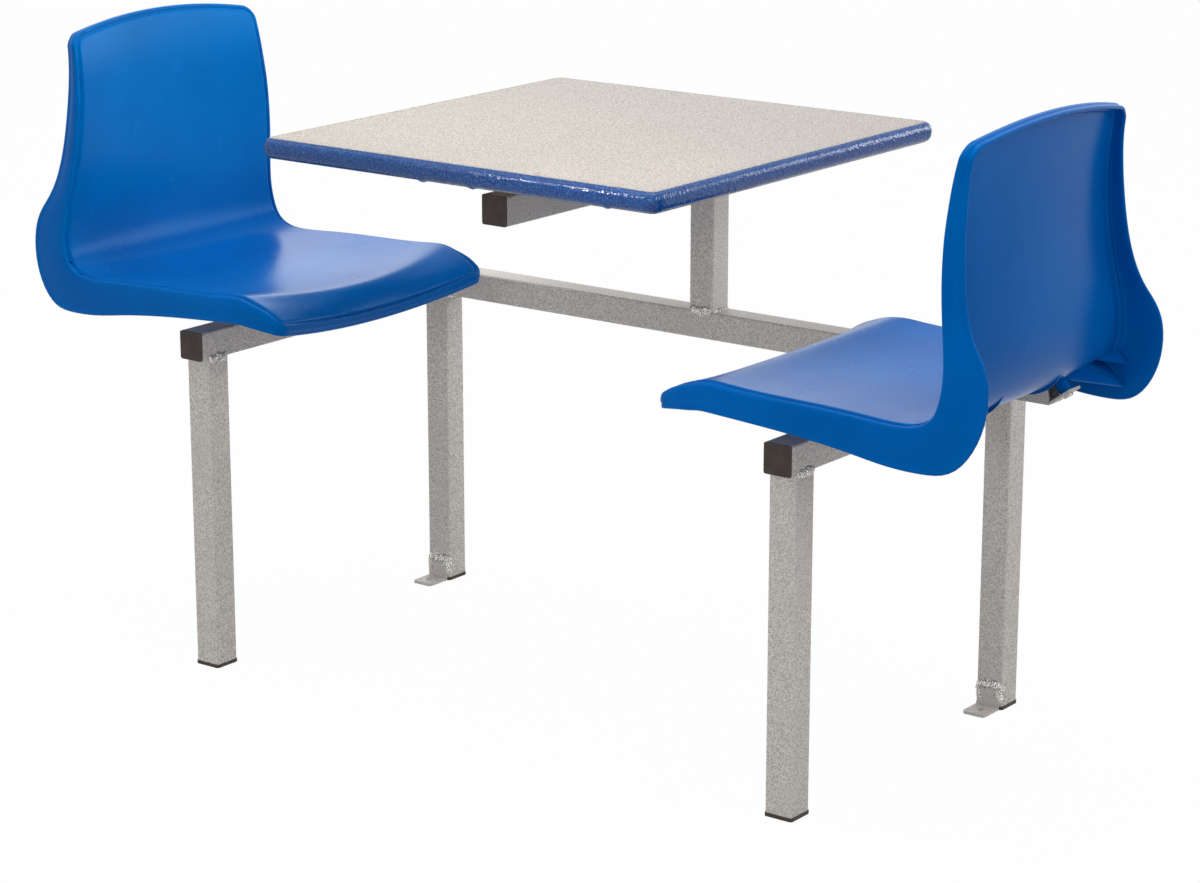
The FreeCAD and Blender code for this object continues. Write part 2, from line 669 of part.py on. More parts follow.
for side_name, sign, turn in SEATS:
    at_seat(pivot_spindle(f"{side_name}_pivot_spindle"), sign, turn, SHOULDER)
    washer = hollow_cylinder(f"{side_name}_thrust_washer", "spindle + 2 * thrust_washer_width",
                             "spindle + 2 * fit_clearance", "thrust_washer")
    at_seat(washer, sign, turn, WASHER_BOTTOM)
    at_seat(turn_plate(f"{side_name}_swivel_plate"), sign, turn, TURN_PLATE_BOTTOM)
    at_seat(stop_pin(f"{side_name}_stop_pin"), sign, turn, "rail_top + stop_clearance")
    lock_washer = hollow_cylinder(f"{side_name}_lock_washer", "lock_washer_outer",
                                  "stud + 2 * fit_clearance", "lock_washer")
    at_seat(lock_washer, sign, turn, f"{SHOULDER} - lock_washer")
    at_seat(lock_nut(f"{side_name}_lock_nut"), sign, turn, f"{SHOULDER} - lock_washer - nut_height")


# ---------------------------------------------------------------- seat arms and shell screws

def arm_shape(sign_y):
    """One channel arm, open upwards: a web, two side plates up to the pan, and a tongue that
    rises behind them under the bend."""
    sheet_thickness = size("arm_sheet")
    width = size("arm_width")
    front, back, low = size("arm_front"), size("arm_back"), arm_bottom()
    centre = sign_y * size("arm_spacing") / 2
    web = Part.makeBox(front + back, width, sheet_thickness, Vector(-back, centre - width / 2, low))
    tongue = Part.makeBox(size("tongue_length"), width, sheet_thickness, Vector(0, -width / 2, 0))
    tongue.Placement = Placement(Vector(-back, centre, low), Rotation(Vector(0, 0, 1), 180)).multiply(
        Placement(Vector(0, 0, 0), Rotation(Vector(0, 1, 0), -size("tongue_angle"))))
    tip = size("arm_tip_round")
    plate_side = [
        Vector(front, 0, low),
        Vector(-back + tip, 0, low),
        Vector(-back, 0, low + tip),
        Vector(-back + 2 * tip, 0, size("brow_height")),
        Vector(front, 0, size("brow_height")),
    ]
    side_wire = Part.makePolygon(plate_side + plate_side[:1])
    plates = []
    for edge in (centre - width / 2, centre + width / 2 - sheet_thickness):
        plates.append(prism(side_wire, Vector(0, edge, 0), Vector(0, sheet_thickness, 0)))
    arm = web.fuse([tongue] + plates)
    arm = arm.cut(curved_slab(-60, size("shell_wall") + size("arm_gap")))
    holes = [upright(size("shell_screw") / 2 + size("fit_clearance"), -1, sheet_thickness + 1, where)
             for where in screw_places()]
    return arm.cut(holes).removeSplitter()


def shell_screw_shapes():
    """The screws that hold the shell: a round head under the web and a shank up into each boss."""
    screws = []
    for where in screw_places():
        shank = upright(size("shell_screw") / 2, 0, size("boss") - size("fit_clearance"), where)
        head = upright(size("shell_screw_head") / 2, -size("shell_screw_head_height"), 0, where)
        screws.append(head.fuse(shank).removeSplitter())
    return Part.makeCompound(screws)


shell = shell_shape()
front_arm, rear_arm, screws = arm_shape(-1), arm_shape(1), shell_screw_shapes()
for side_name, sign, turn in SEATS:
    at_seat(solid_feature(f"{side_name}_seat_shell", shell), sign, turn)
    at_seat(solid_feature(f"{side_name}_seat_front_arm", front_arm if sign < 0 else rear_arm), sign, turn)
    at_seat(solid_feature(f"{side_name}_seat_rear_arm", rear_arm if sign < 0 else front_arm), sign, turn)
    at_seat(solid_feature(f"{side_name}_shell_screws", screws), sign, turn)

table_screws = []
for x in (-size("screw_offset"), size("screw_offset")):
    for y in (size("support_front") + size("bar_inset"), -size("support_front") - size("bar_inset")):
        table_screws.append(wood_screw(x, y, size("support_top")))
solid_feature("tabletop_screws", Part.makeCompound(table_screws))


# ---------------------------------------------------------------- checks and export

doc.recompute()
for item in doc.Objects:
    if "Invalid" in item.State or "Error" in item.State:
        raise RuntimeError(f"{item.Name} failed: {item.State}")
for node in nodes:
    if node.Shape.isNull() or not node.Shape.isValid():
        raise RuntimeError(f"{node.Label} has no valid shape")
    node.Shape.exportStep(os.path.join("parts", f"{node.Label}.step"))
print(f"{len(nodes)} sub-parts written")
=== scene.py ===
"""Table with two attached swivel seats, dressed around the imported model: powder-coated tube frame with weld
beads, square laminate top with a cast edge, and two satin moulded seats. Lengths are in metres, and colours
are screen values from 0 to 255."""
import json
import math

import bpy
import numpy as np
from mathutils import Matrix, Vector


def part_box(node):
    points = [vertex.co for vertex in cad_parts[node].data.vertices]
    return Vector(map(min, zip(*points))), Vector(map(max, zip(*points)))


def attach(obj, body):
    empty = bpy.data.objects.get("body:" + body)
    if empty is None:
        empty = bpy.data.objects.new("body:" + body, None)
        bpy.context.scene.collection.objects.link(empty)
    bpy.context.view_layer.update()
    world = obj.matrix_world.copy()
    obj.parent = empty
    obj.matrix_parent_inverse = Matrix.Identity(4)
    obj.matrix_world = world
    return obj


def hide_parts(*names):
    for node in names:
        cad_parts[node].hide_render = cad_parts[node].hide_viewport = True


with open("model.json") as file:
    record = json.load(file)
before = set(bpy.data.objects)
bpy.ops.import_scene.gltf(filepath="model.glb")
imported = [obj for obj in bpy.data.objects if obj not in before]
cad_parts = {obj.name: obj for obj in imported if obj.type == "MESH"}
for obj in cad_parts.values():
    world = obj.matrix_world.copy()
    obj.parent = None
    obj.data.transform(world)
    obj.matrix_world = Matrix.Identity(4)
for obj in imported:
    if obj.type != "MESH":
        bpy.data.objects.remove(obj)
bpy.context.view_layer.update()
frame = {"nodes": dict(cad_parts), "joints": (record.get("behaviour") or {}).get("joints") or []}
NODES = frame["nodes"]

# ------------------------------------------------------------------ camera, floor and light
# A long lens looks slightly down from the front right, on a white sweep. A broad soft lamp hangs overhead,
# with weaker ones high on the left, in front, behind and on the right. Three small lamps draw the sheen in
# the left seat's bend, warm its back, and put glints on the front edge.

CAMERA_PLACE = (2.526, -3.359, 1.473)
CAMERA_YAW, CAMERA_PITCH = math.radians(-36.98), math.radians(-15.22)
FOCAL_PIXELS, IMAGE_WIDTH, SENSOR_WIDTH = 3349, 1200, 36.0
SIGHT_END = 100

camera = bpy.data.objects.new("camera", bpy.data.cameras.new("camera"))
bpy.context.scene.collection.objects.link(camera)
bpy.context.scene.camera = camera
camera.data.sensor_width = SENSOR_WIDTH
camera.data.lens = FOCAL_PIXELS * SENSOR_WIDTH / IMAGE_WIDTH
camera.data.clip_end = SIGHT_END
camera.location = CAMERA_PLACE
sight = Vector((math.sin(CAMERA_YAW) * math.cos(CAMERA_PITCH),
                math.cos(CAMERA_YAW) * math.cos(CAMERA_PITCH),
                math.sin(CAMERA_PITCH)))
camera.rotation_mode = "QUATERNION"
camera.rotation_quaternion = sight.to_track_quat("-Z", "Y")
bpy.context.scene.view_settings.view_transform = "Standard"


def add_node(tree, kind, inputs=None, **settings):
    """A shader node with its settings, whose sockets take values, colours or other nodes' outputs."""
    made = tree.nodes.new(kind)
    for name, value in settings.items():
        setattr(made, name, value)
    for name, value in (inputs or {}).items():
        if isinstance(value, bpy.types.NodeSocket):
            tree.links.new(value, made.inputs[name])
        else:
            made.inputs[name].default_value = value
    return made


def white_to_rays(tree, *kinds):
    """1 for rays of the given kinds, which see plain white, and 0 for those that carry light to the object:
    the largest of the kinds' flags."""
    path = add_node(tree, "ShaderNodeLightPath")
    seen = path.outputs[kinds[0]]
    for kind in kinds[1:]:
        larger = add_node(tree, "ShaderNodeMath", {0: seen, 1: path.outputs[kind]}, operation="MAXIMUM")
        seen = larger.outputs[0]
    return seen


WORLD_LIGHT, WORLD_TINT = 0.49, (0.96, 0.98, 1, 1)
WHITE = (1, 1, 1, 1)
SHOWN_WHITE = ("Is Camera Ray", "Is Glossy Ray", "Is Transmission Ray")
world = bpy.data.worlds.new("white_sweep")
bpy.context.scene.world = world
world.use_nodes = True
tree = world.node_tree
tree.nodes.clear()
seen = add_node(tree, "ShaderNodeBackground", {"Color": WHITE, "Strength": 1.0})
felt = add_node(tree, "ShaderNodeBackground", {"Color": WORLD_TINT, "Strength": WORLD_LIGHT})
shown = white_to_rays(tree, *SHOWN_WHITE)
blend = add_node(tree, "ShaderNodeMixShader", {0: shown, 1: felt.outputs[0], 2: seen.outputs[0]})
add_node(tree, "ShaderNodeOutputWorld", {"Surface": blend.outputs[0]})

FLOOR_HALF, FLOOR_WHITE, FLOOR_SEEN_SHARE = 12.0, 0.52, 0.985
floor_mesh = bpy.data.meshes.new("floor")
floor_mesh.from_pydata([(-FLOOR_HALF, -FLOOR_HALF, 0), (FLOOR_HALF, -FLOOR_HALF, 0),
                        (FLOOR_HALF, FLOOR_HALF, 0), (-FLOOR_HALF, FLOOR_HALF, 0)], [], [(0, 1, 2, 3)])
floor = bpy.data.objects.new("floor", floor_mesh)
bpy.context.scene.collection.objects.link(floor)
floor_material = bpy.data.materials.new("pale_floor")
floor_material.use_nodes = True
tree = floor_material.node_tree
tree.nodes.clear()
paint = add_node(tree, "ShaderNodeBsdfDiffuse", {"Color": (FLOOR_WHITE,) * 3 + (1,)})
glow = add_node(tree, "ShaderNodeEmission", {"Color": WHITE, "Strength": 1.0})
shown = white_to_rays(tree, *SHOWN_WHITE)
share = add_node(tree, "ShaderNodeMath", {0: shown, 1: FLOOR_SEEN_SHARE}, operation="MULTIPLY")
blend = add_node(tree, "ShaderNodeMixShader", {0: share.outputs[0], 1: paint.outputs[0], 2: glow.outputs[0]})
add_node(tree, "ShaderNodeOutputMaterial", {"Surface": blend.outputs[0]})
floor_mesh.materials.append(floor_material)

WHITE_LIGHT, SOFT_LIGHT, WARM_LIGHT = (1.0, 1.0, 1.0), (1.0, 0.975, 0.90), (1.0, 0.93, 0.50)
LAMPS = (
    # name, place, target, width, height, watts, spread in degrees, colour
    ("over_lamp", (0.0, -0.3, 3.6), (0.0, 0.0, 0.5), 2.4, 2.0, 60, 180, SOFT_LIGHT),
    ("top_lamp", (-1.8, -1.6, 3.8), (0.0, 0.0, 0.5), 2.6, 2.0, 14, 180, SOFT_LIGHT),
    ("front_lamp", (1.2, -4.6, 1.6), (0.0, 0.0, 0.4), 2.4, 1.6, 31, 180, WHITE_LIGHT),
    ("back_lamp", (-2.6, 2.9, 1.9), (0.0, 0.0, 0.6), 1.6, 1.2, 10.5, 180, WHITE_LIGHT),
    ("right_lamp", (4.4, 0.9, 2.6), (0.1, 0.0, 0.6), 1.6, 1.6, 35, 180, WHITE_LIGHT),
    ("bend_lamp", (1.15, 2.1, 1.30), (-0.68, -0.12, 0.53), 0.75, 0.7, 1.9, 60, WHITE_LIGHT),
    ("left_back_lamp", (1.7, -0.5, 1.60), (-0.68, -0.08, 0.72), 0.4, 0.4, 0.6, 22, WARM_LIGHT),
    ("glint_lamp", (-1.5, -2.35, 2.0), (0.24, -0.306, 0.733), 0.2, 0.2, 0.12, 10, WHITE_LIGHT),
)
for name, place, target, width, height, watts, spread, colour in LAMPS:
    lamp_data = bpy.data.lights.new(name, "AREA")
    lamp_data.shape = "RECTANGLE"
    lamp_data.size, lamp_data.size_y, lamp_data.energy = width, height, watts
    lamp_data.spread = math.radians(spread)
    lamp_data.color = colour
    lamp = bpy.data.objects.new(name, lamp_data)
    bpy.context.scene.collection.objects.link(lamp)
    lamp.location = place
    lamp.rotation_mode = "QUATERNION"
    lamp.rotation_quaternion = (Vector(target) - Vector(place)).to_track_quat("-Z", "Y")

# ------------------------------------------------------------------ welded frame
# Square steel tube, 38 mm for rails, legs, beam, post and support and 25 mm for the two bars under the top,
# under a silver-grey textured powder coat: a fine orange peel with darker and lighter grains of flake.

COAT_DARK, COAT_MID, COAT_LIGHT = (160, 154, 150), (196, 190, 185), (227, 221, 215)
COAT_GRAIN, COAT_PEEL, COAT_CLOUD = 0.0012, 0.0022, 0.05
COAT_CLOUD_SHARE, COAT_RELIEF = 0.4, 0.00025
COAT_ROUGH, COAT_SMOOTH = 0.62, 0.40
LUMP_SHARE = 0.7
FRAME_TUBES = ["cross_beam", "table_post", "table_support_tube"]
FRAME_TUBES += ["front_table_crossbar", "rear_table_crossbar"]
FRAME_TUBES += [f"{side}_seat_rail" for side in ("left", "right")]
FRAME_TUBES += [f"{end}_{side}_leg" for side in ("left", "right") for end in ("front", "rear")]


def linear(rgb):
    """A colour in 0 to 255 screen values as scene-linear red, green, blue and alpha."""
    share = np.array(rgb, float) / 255
    low, high = share / 12.92, ((share + 0.055) / 1.055) ** 2.4
    return tuple(np.where(share <= 0.04045, low, high)) + (1.0,)


def new_material(name, **sockets):
    """A material with one principled shader, whose uniform values are set on its own sockets."""
    material = bpy.data.materials.new(name)
    material.use_nodes = True
    shader = material.node_tree.nodes["Principled BSDF"]
    for socket, value in sockets.items():
        shader.inputs[socket.replace("_", " ")].default_value = value
    return material, material.node_tree, shader


def object_noise(tree, feature, detail=2.0, roughness=0.5):
    """Noise on object coordinates whose lumps are about as wide as feature, from 0 to 1. A lump takes up
    LUMP_SHARE of the pattern's period."""
    place = add_node(tree, "ShaderNodeTexCoord")
    noise = add_node(tree, "ShaderNodeTexNoise", {"Vector": place.outputs["Object"],
                                                  "Scale": LUMP_SHARE / feature,
                                                  "Detail": detail, "Roughness": roughness})
    return noise.outputs["Fac"]


def ramp(tree, factor, stops):
    """A colour ramp through screen colours at given positions."""
    made = add_node(tree, "ShaderNodeValToRGB", {"Fac": factor})
    while len(made.color_ramp.elements) < len(stops):
        made.color_ramp.elements.new(0.5)
    for element, (position, rgb) in zip(made.color_ramp.elements, stops):
        element.position = position
        element.color = linear(rgb)
    return made.outputs["Color"]


def remap(tree, value, low, high, from_low=0.0, from_high=1.0):
    """A value stretched from one range to another."""
    return add_node(tree, "ShaderNodeMapRange", {"Value": value, "From Min": from_low, "From Max": from_high,
                                                 "To Min": low, "To Max": high}).outputs["Result"]


def mix_colour(tree, factor, first, second):
    """Two colours mixed by a factor, through the node's colour sockets, inputs 6 and 7 and output 2."""
    made = add_node(tree, "ShaderNodeMix", {"Factor": factor}, data_type="RGBA")
    for socket, value in ((made.inputs[6], first), (made.inputs[7], second)):
        if isinstance(value, bpy.types.NodeSocket):
            tree.links.new(value, socket)
        else:
            socket.default_value = value
    return made.outputs[2]


def bump(tree, shader, height, distance):
    """Relief on the shader from a height between 0 and 1 times distance."""
    made = add_node(tree, "ShaderNodeBump", {"Height": height, "Distance": distance})
    tree.links.new(made.outputs["Normal"], shader.inputs["Normal"])


def dress(names, material):
    """Give CAD nodes one material."""
    for name in names:
        node_mesh = NODES[name].data
        node_mesh.materials.clear()
        node_mesh.materials.append(material)


def powder_coat():
    """Grains between three greys, drifting slightly over the tube, on a fine peel."""
    material, tree, shader = new_material("powder_coat", Metallic=0.12, Specular_IOR_Level=0.3)
    grain = object_noise(tree, COAT_GRAIN, detail=1.0)
    speckle = ramp(tree, grain, ((0.30, COAT_DARK), (0.46, COAT_MID), (0.62, COAT_LIGHT)))
    cloud = remap(tree, object_noise(tree, COAT_CLOUD), 0.0, COAT_CLOUD_SHARE, 0.35, 0.65)
    tree.links.new(mix_colour(tree, cloud, speckle, linear(COAT_MID)), shader.inputs["Base Color"])
    tree.links.new(remap(tree, grain, COAT_ROUGH, COAT_SMOOTH), shader.inputs["Roughness"])
    bump(tree, shader, object_noise(tree, COAT_PEEL, detail=3.0), COAT_RELIEF)
    return material


COAT = powder_coat()
dress(FRAME_TUBES, COAT)

# ------------------------------------------------------------------ seat shells
# One injection-moulded polypropylene shell a seat, screwed to the arms. A groove and a bead run all round
# its dished panel, and outside them a flange falls to a rolled free edge, deep at the bend as a round lobe.
# Thin webs stiffen the bend from behind, and bosses take the screws.

SEAT_SIDES = (("left", -1.0), ("right", 1.0))
PIVOTS = {joint["child"]: joint["pos_m"] for joint in frame["joints"]}
RAIL_MIDDLE_X, SEAT_MIDDLE_Y = PIVOTS["right_seat"][:2]
# The outline's corner radii, and how far the crown falls towards its sides, which builds up over a stretch.
FRONT_CORNER, CROWN_CORNER, LEAST_CORNER = 0.016, 0.020, 0.002
CROWN_DROP, CROWN_DROP_AT, CROWN_DROP_POWER = 0.0150, 0.160, 2.0
CROWN_DROP_FADE = 0.12
# The section outside the panel: its width, the wall, the rolled edge, the flange's hollow and the corners.
EDGE_INSET = 0.014
WALL, RIM_SWELL = 0.0036, 0.0008
SWELL_START, SWELL_END = 0.005, 0.001
FLANGE_HOLLOW = 0.0012
CREST_OUT, CREST_DOWN = 0.0002, 0.0026
INNER_CORNER_WALLS = 1.2
INNER_STEP_OUT = (0.011, 0.0125)
# The stretches at the lip and before the crown over which the groove and the bead change.
LIP_FADE = 0.06
CROWN_FADE_START, CROWN_FADE = 0.09, 0.07
# The step that slopes are taken over, and the points of arcs, sides, rows and curves of the section.
SLOPE_STEP = 0.0005
ARC_FRONT, ARC_CROWN, STRAIGHT_SIDE, HALF_ROW = 6, 12, 150, 30
OUTER_STEPS, INNER_STEPS, RIM_STEPS = 4, 3, 6

# One row a station along the side edge, from the lip up to the crown, in millimetres from the pivot axis and
# the floor: forward and height of the side edge, how far the middle lies ahead of and above it, half width,
# and the flange's free edge from there: forward, up, and inwards.
STATIONS = np.array([
    (169, 494, -12, -17.5, 205.0, -4, -12, 0),
    (143, 512, 5, -19.5, 208.5, -2, -25, -1),
    (114, 522.5, 24, -18.7, 210.0, -1, -31, -2),
    (100, 526, 32.5, -17.4, 210.5, 0, -33, -2),
    (90, 527, 37, -16, 211.0, 0, -34, -2),
    (60, 525.6, 24, -15.6, 211.5, -2, -34, -3),
    (-45, 522, 0, -16, 211.5, 10, -37, -3),
    (-120, 519, 0, -16, 211.5, 8, -43, -3),
    (-165, 517, 0, -15, 211.5, 0, -48, -3),
    (-190, 520, -3, -12, 211.0, -12, -52.3, -2),
    (-207, 530, -5, -8, 210.5, -30, -55, 0),
    (-215, 549, -8, -4, 209.0, -50, -38, 2),
    (-217, 575, -11, 0, 205.5, -56, -8, 4),
    (-213, 610, -13, 0, 200.5, -40, 0, 5),
    (-206, 655, -14, 0, 194.0, -29, 0, 5.5),
    (-202, 710, -14, 0, 187.5, -25, 0, 5.5),
    (-204, 760, -12, 0, 182.5, -21, 0, 5.5),
    (-212, 810, -9, 0, 178.5, -17, 0, 5),
    (-222, 848, -5, 0, 175.5, -16, -1, 4),
], float) / 1000
FORWARD, HEIGHT, BOW_FORWARD, BOW_HEIGHT, HALF_WIDTH, FALL_FORWARD, FALL_UP, FALL_IN = range(8)

# The groove and the bead beside the panel: how far out from the side edge, and how far above it, on the
# sides and at the lip. At the crown only a share of the sides' depth is left.
STEP_OUT = np.array([-14, -12, -10, -8.8, -6.8, -4.9, -3.2, -1.2]) / 1000
STEP_DOWN = np.array([0, 0, -0.3, -4.3, -5.2, -3.1, -2.7, -3.6]) / 1000
STEP_DOWN_AT_LIP = np.array([0, -0.3, -0.9, -1.7, -2.9, 0.1, 0.6, -1.0]) / 1000
STEP_AT_CROWN = 0.60


def spline_through(knots, values):
    """A natural cubic spline: the second differences at the knots solve the usual tridiagonal system, and
    the returned function blends each pair of neighbours with them."""
    gaps = np.diff(knots)
    count = len(knots)
    system = np.eye(count)
    right = np.zeros_like(values)
    for k in range(1, count - 1):
        system[k, k - 1:k + 2] = gaps[k - 1], 2 * (gaps[k - 1] + gaps[k]), gaps[k]
        right[k] = 6 * ((values[k + 1] - values[k]) / gaps[k] - (values[k] - values[k - 1]) / gaps[k - 1])
    second = np.linalg.solve(system, right)

    def evaluate(at):
        at = np.asarray(at, float)
        k = np.clip(np.searchsorted(knots, at) - 1, 0, count - 2)
        gap = gaps[k][..., None]
        ahead = (at - knots[k])[..., None] / gap
        behind = 1 - ahead
        return (behind * values[k] + ahead * values[k + 1]
                + gap ** 2 / 6 * ((behind ** 3 - behind) * second[k] + (ahead ** 3 - ahead) * second[k + 1]))
    return evaluate


STATION_AT = np.r_[0, np.cumsum(np.hypot(*np.diff(STATIONS[:, :2], axis=0).T))]
EDGE_LENGTH = STATION_AT[-1]
station = spline_through(STATION_AT, STATIONS)


def crown_drop(across):
    """How far the crown falls below its middle at a distance across."""
    return CROWN_DROP * (np.abs(across) / CROWN_DROP_AT) ** CROWN_DROP_POWER


def panel_point(along, across):
    """The panel's face at a distance along the side edge and across the seat: the edge's point plus the bow,
    which falls off with the square of the share of the half width."""
    row = station(along)
    bow = 1 - (across / row[..., HALF_WIDTH]) ** 2
    return np.stack([row[..., FORWARD] + bow * row[..., BOW_FORWARD], across,
                     row[..., HEIGHT] + bow * row[..., BOW_HEIGHT]], -1)


def rounded_side(inset):
    """The outline's right side, from the middle of the front corner's arc to the middle of the crown
    corner's: along and across at an inset from the edge. Towards its top it takes on the crown's drop."""
    front, crown = max(FRONT_CORNER - inset, LEAST_CORNER), max(CROWN_CORNER - inset, LEAST_CORNER)
    turn_front = np.linspace(math.pi / 4, 0, ARC_FRONT, endpoint=False)
    turn_crown = np.linspace(0, math.pi / 4, ARC_CROWN + 1)[1:]
    straight = np.linspace(inset + front, EDGE_LENGTH - inset - crown, STRAIGHT_SIDE + 1)
    along = np.r_[inset + front * (1 - np.sin(turn_front)), straight,
                  EDGE_LENGTH - inset - crown * (1 - np.sin(turn_crown))]
    short = np.r_[front * (1 - np.cos(turn_front)), np.zeros(len(straight)),
                  crown * (1 - np.cos(turn_crown))]
    across = station(along)[:, HALF_WIDTH] - inset - short
    fade = along - EDGE_LENGTH + CROWN_DROP_FADE
    near_top = np.clip(fade / fade[-1], 0, 1)
    return along - near_top * crown_drop(across), across


def rounded_end(inset, at_crown):
    """Half of the lip or the crown, from the middle to the middle of the corner's arc. It is as long as lets
    that arc meet the side's."""
    radius = max((CROWN_CORNER if at_crown else FRONT_CORNER) - inset, LEAST_CORNER)
    arc_points = ARC_CROWN if at_crown else ARC_FRONT
    end = EDGE_LENGTH - inset if at_crown else inset
    half = rounded_side(inset)[1][-1 if at_crown else 0] + radius * (1 - math.cos(math.pi / 4))
    turn = np.linspace(math.pi / 2, math.pi / 4, arc_points + 1)[1:]
    straight = np.linspace(0, half - radius, HALF_ROW - arc_points + 1)
    across = np.r_[straight, half - radius * (1 - np.cos(turn))]
    short = np.r_[np.zeros(len(straight)), radius * (1 - np.sin(turn))]
    along = end - short - crown_drop(across) if at_crown else end + short
    return along, across


def outline(inset):
    """The closed outline at an inset, as (along, across) rows: right side up, crown, left side down, lip."""
    side = np.stack(rounded_side(inset), 1)
    crown = np.stack(rounded_end(inset, True), 1)
    lip = np.stack(rounded_end(inset, False), 1)
    crown[-1], lip[-1] = side[-1], side[0]
    flip = np.array([1, -1])
    return np.concatenate([side[:-1], crown[:0:-1], crown[:-1] * flip, side[:0:-1] * flip,
                           lip[:0:-1] * flip, lip[:-1]])


def coons(loop, rows, columns):
    """A grid inside a closed loop: each point adds the blends between opposite sides and takes off the blend
    of the four corners."""
    right = loop[:rows + 1]
    top = loop[rows:rows + columns + 1][::-1]
    left = loop[rows + columns:2 * rows + columns + 1][::-1]
    bottom = np.concatenate([loop[2 * rows + columns:], loop[:1]])
    a = np.linspace(0, 1, rows + 1)[:, None, None]
    b = np.linspace(0, 1, columns + 1)[None, :, None]
    sides = (1 - b) * left[:, None] + b * right[:, None]
    ends = (1 - a) * bottom[None] + a * top[None]
    corners = ((1 - a) * (1 - b) * bottom[0] + (1 - a) * b * bottom[-1]
               + a * (1 - b) * top[0] + a * b * top[-1])
    return sides + ends - corners


def smooth_section(polygon, steps):
    """A section drawn by its control polygon: between the middles of its legs the line follows the parabola
    of each corner. The polygon's first axis is along the section."""
    middles = (polygon[1:] + polygon[:-1]) / 2
    middles[0], middles[-1] = polygon[0], polygon[-1]
    t = np.linspace(0, 1, steps, endpoint=False).reshape((-1,) + (1,) * (polygon.ndim - 1))
    pieces = [(1 - t) ** 2 * middles[k] + 2 * t * (1 - t) * polygon[k + 1] + t ** 2 * middles[k + 1]
              for k in range(len(polygon) - 2)]
    return np.concatenate(pieces + [polygon[-1:]])


def unit(vectors):
    """Each vector divided by its own length."""
    return vectors / np.linalg.norm(vectors, axis=-1, keepdims=True)


def face_normal(along, across):
    """The normal of the panel's face at a place: the cross product of the face's two slopes there."""
    slope = panel_point(along + SLOPE_STEP, across) - panel_point(along - SLOPE_STEP, across)
    cross = panel_point(along, across + SLOPE_STEP) - panel_point(along, across - SLOPE_STEP)
    return unit(np.cross(cross, slope))


def shell_walls(outer, inner, side_normal):
    """The loops round the panel, each one point of a section carried round the outline: the groove, the bead
    and the flange outside, the rolled free edge, and the inner wall back to the panel."""
    edge, base = panel_point(*outer.T), panel_point(*inner.T)
    out = (edge - base) / EDGE_INSET
    loop_run = np.roll(edge, -1, 0) - np.roll(edge, 1, 0)
    up = unit(np.cross(loop_run, out))
    up *= np.sign(np.sum(up[:1] * side_normal, -1))
    row = station(outer[:, 0])
    lip_share = np.clip(1 - outer[:, :1] / LIP_FADE, 0, 1)
    crown_share = np.clip((outer[:, :1] - EDGE_LENGTH + CROWN_FADE_START) / CROWN_FADE, 0, 1)
    depth = ((1 - (1 - STEP_AT_CROWN) * crown_share) * (1 - lip_share) * STEP_DOWN
             + lip_share * STEP_DOWN_AT_LIP).T[..., None]
    crest = edge + depth[-1] * up
    fall = np.stack([row[:, FALL_FORWARD], np.zeros(len(row)), row[:, FALL_UP]], -1)
    free = crest + fall - row[:, FALL_IN:] * unit(out)
    down = unit(free - crest)
    inward = -unit(out)
    inward = unit(inward - np.sum(inward * down, -1, keepdims=True) * down)
    free = free - down * WALL / 2
    middle = (crest + free) / 2 - FLANGE_HOLLOW * inward
    lip = free - RIM_SWELL * inward
    outer_polygon = [edge + a * out + b * up for a, b in zip(STEP_OUT, depth)]
    outer_polygon += [crest + CREST_OUT * out + CREST_DOWN * down, middle,
                      free - SWELL_START * down, lip - SWELL_END * down, lip]
    outer_wall = smooth_section(np.array(outer_polygon), OUTER_STEPS)
    turn = np.linspace(0, math.pi, RIM_STEPS + 1)[1:-1]
    rim_radius = (WALL + RIM_SWELL) / 2
    rim = np.array([lip + rim_radius * ((1 - math.cos(t)) * inward + math.sin(t) * down) for t in turn])
    corner = crest + WALL * inward + WALL * INNER_CORNER_WALLS * down
    inner_polygon = [free + WALL * inward, middle + WALL * inward, corner,
                     edge - INNER_STEP_OUT[0] * out + (depth.min(0) - WALL) * up,
                     edge - INNER_STEP_OUT[1] * out - WALL * up, base - WALL * up]
    inner_wall = smooth_section(np.array(inner_polygon), INNER_STEPS)
    return np.concatenate([outer_wall[1:], rim, inner_wall[:-1]])


def shell_mesh():
    """Points and faces of one shell in the seat's frame: the panel's face as a grid, the walls as loops
    round it, and the panel's back, which is the face moved a wall along its normal."""
    outer, inner = outline(0.0), outline(EDGE_INSET)
    rows = ARC_FRONT + STRAIGHT_SIDE + ARC_CROWN
    columns = 2 * HALF_ROW
    domain = coons(inner, rows, columns)
    face = panel_point(domain[..., 0], domain[..., 1])
    normal = face_normal(domain[..., 0], domain[..., 1])
    back = face - WALL * normal
    walls = shell_walls(outer, inner, normal[rows // 2, -1])

    # The face's grid is numbered first, then the loops of the walls, then the back.
    number = np.arange((rows + 1) * (columns + 1)).reshape(rows + 1, columns + 1)
    edge_numbers = np.concatenate([number[:-1, -1], number[-1, :0:-1], number[:0:-1, 0], number[0, :-1]])
    wall_numbers = number.size + np.arange(walls[..., 0].size).reshape(walls.shape[:2])
    back_from = number.size + wall_numbers.size
    loops = np.concatenate([edge_numbers[None], wall_numbers, edge_numbers[None] + back_from])
    first, second = loops[:-1], loops[1:]
    around = np.stack([first, second, np.roll(second, -1, 1), np.roll(first, -1, 1)], -1).reshape(-1, 4)
    cells = np.stack([number[:-1, :-1], number[:-1, 1:], number[1:, 1:], number[1:, :-1]], -1).reshape(-1, 4)
    points = np.concatenate([face.reshape(-1, 3), walls.reshape(-1, 3), back.reshape(-1, 3)])
    return points, np.concatenate([cells, (cells + back_from)[:, ::-1], around])


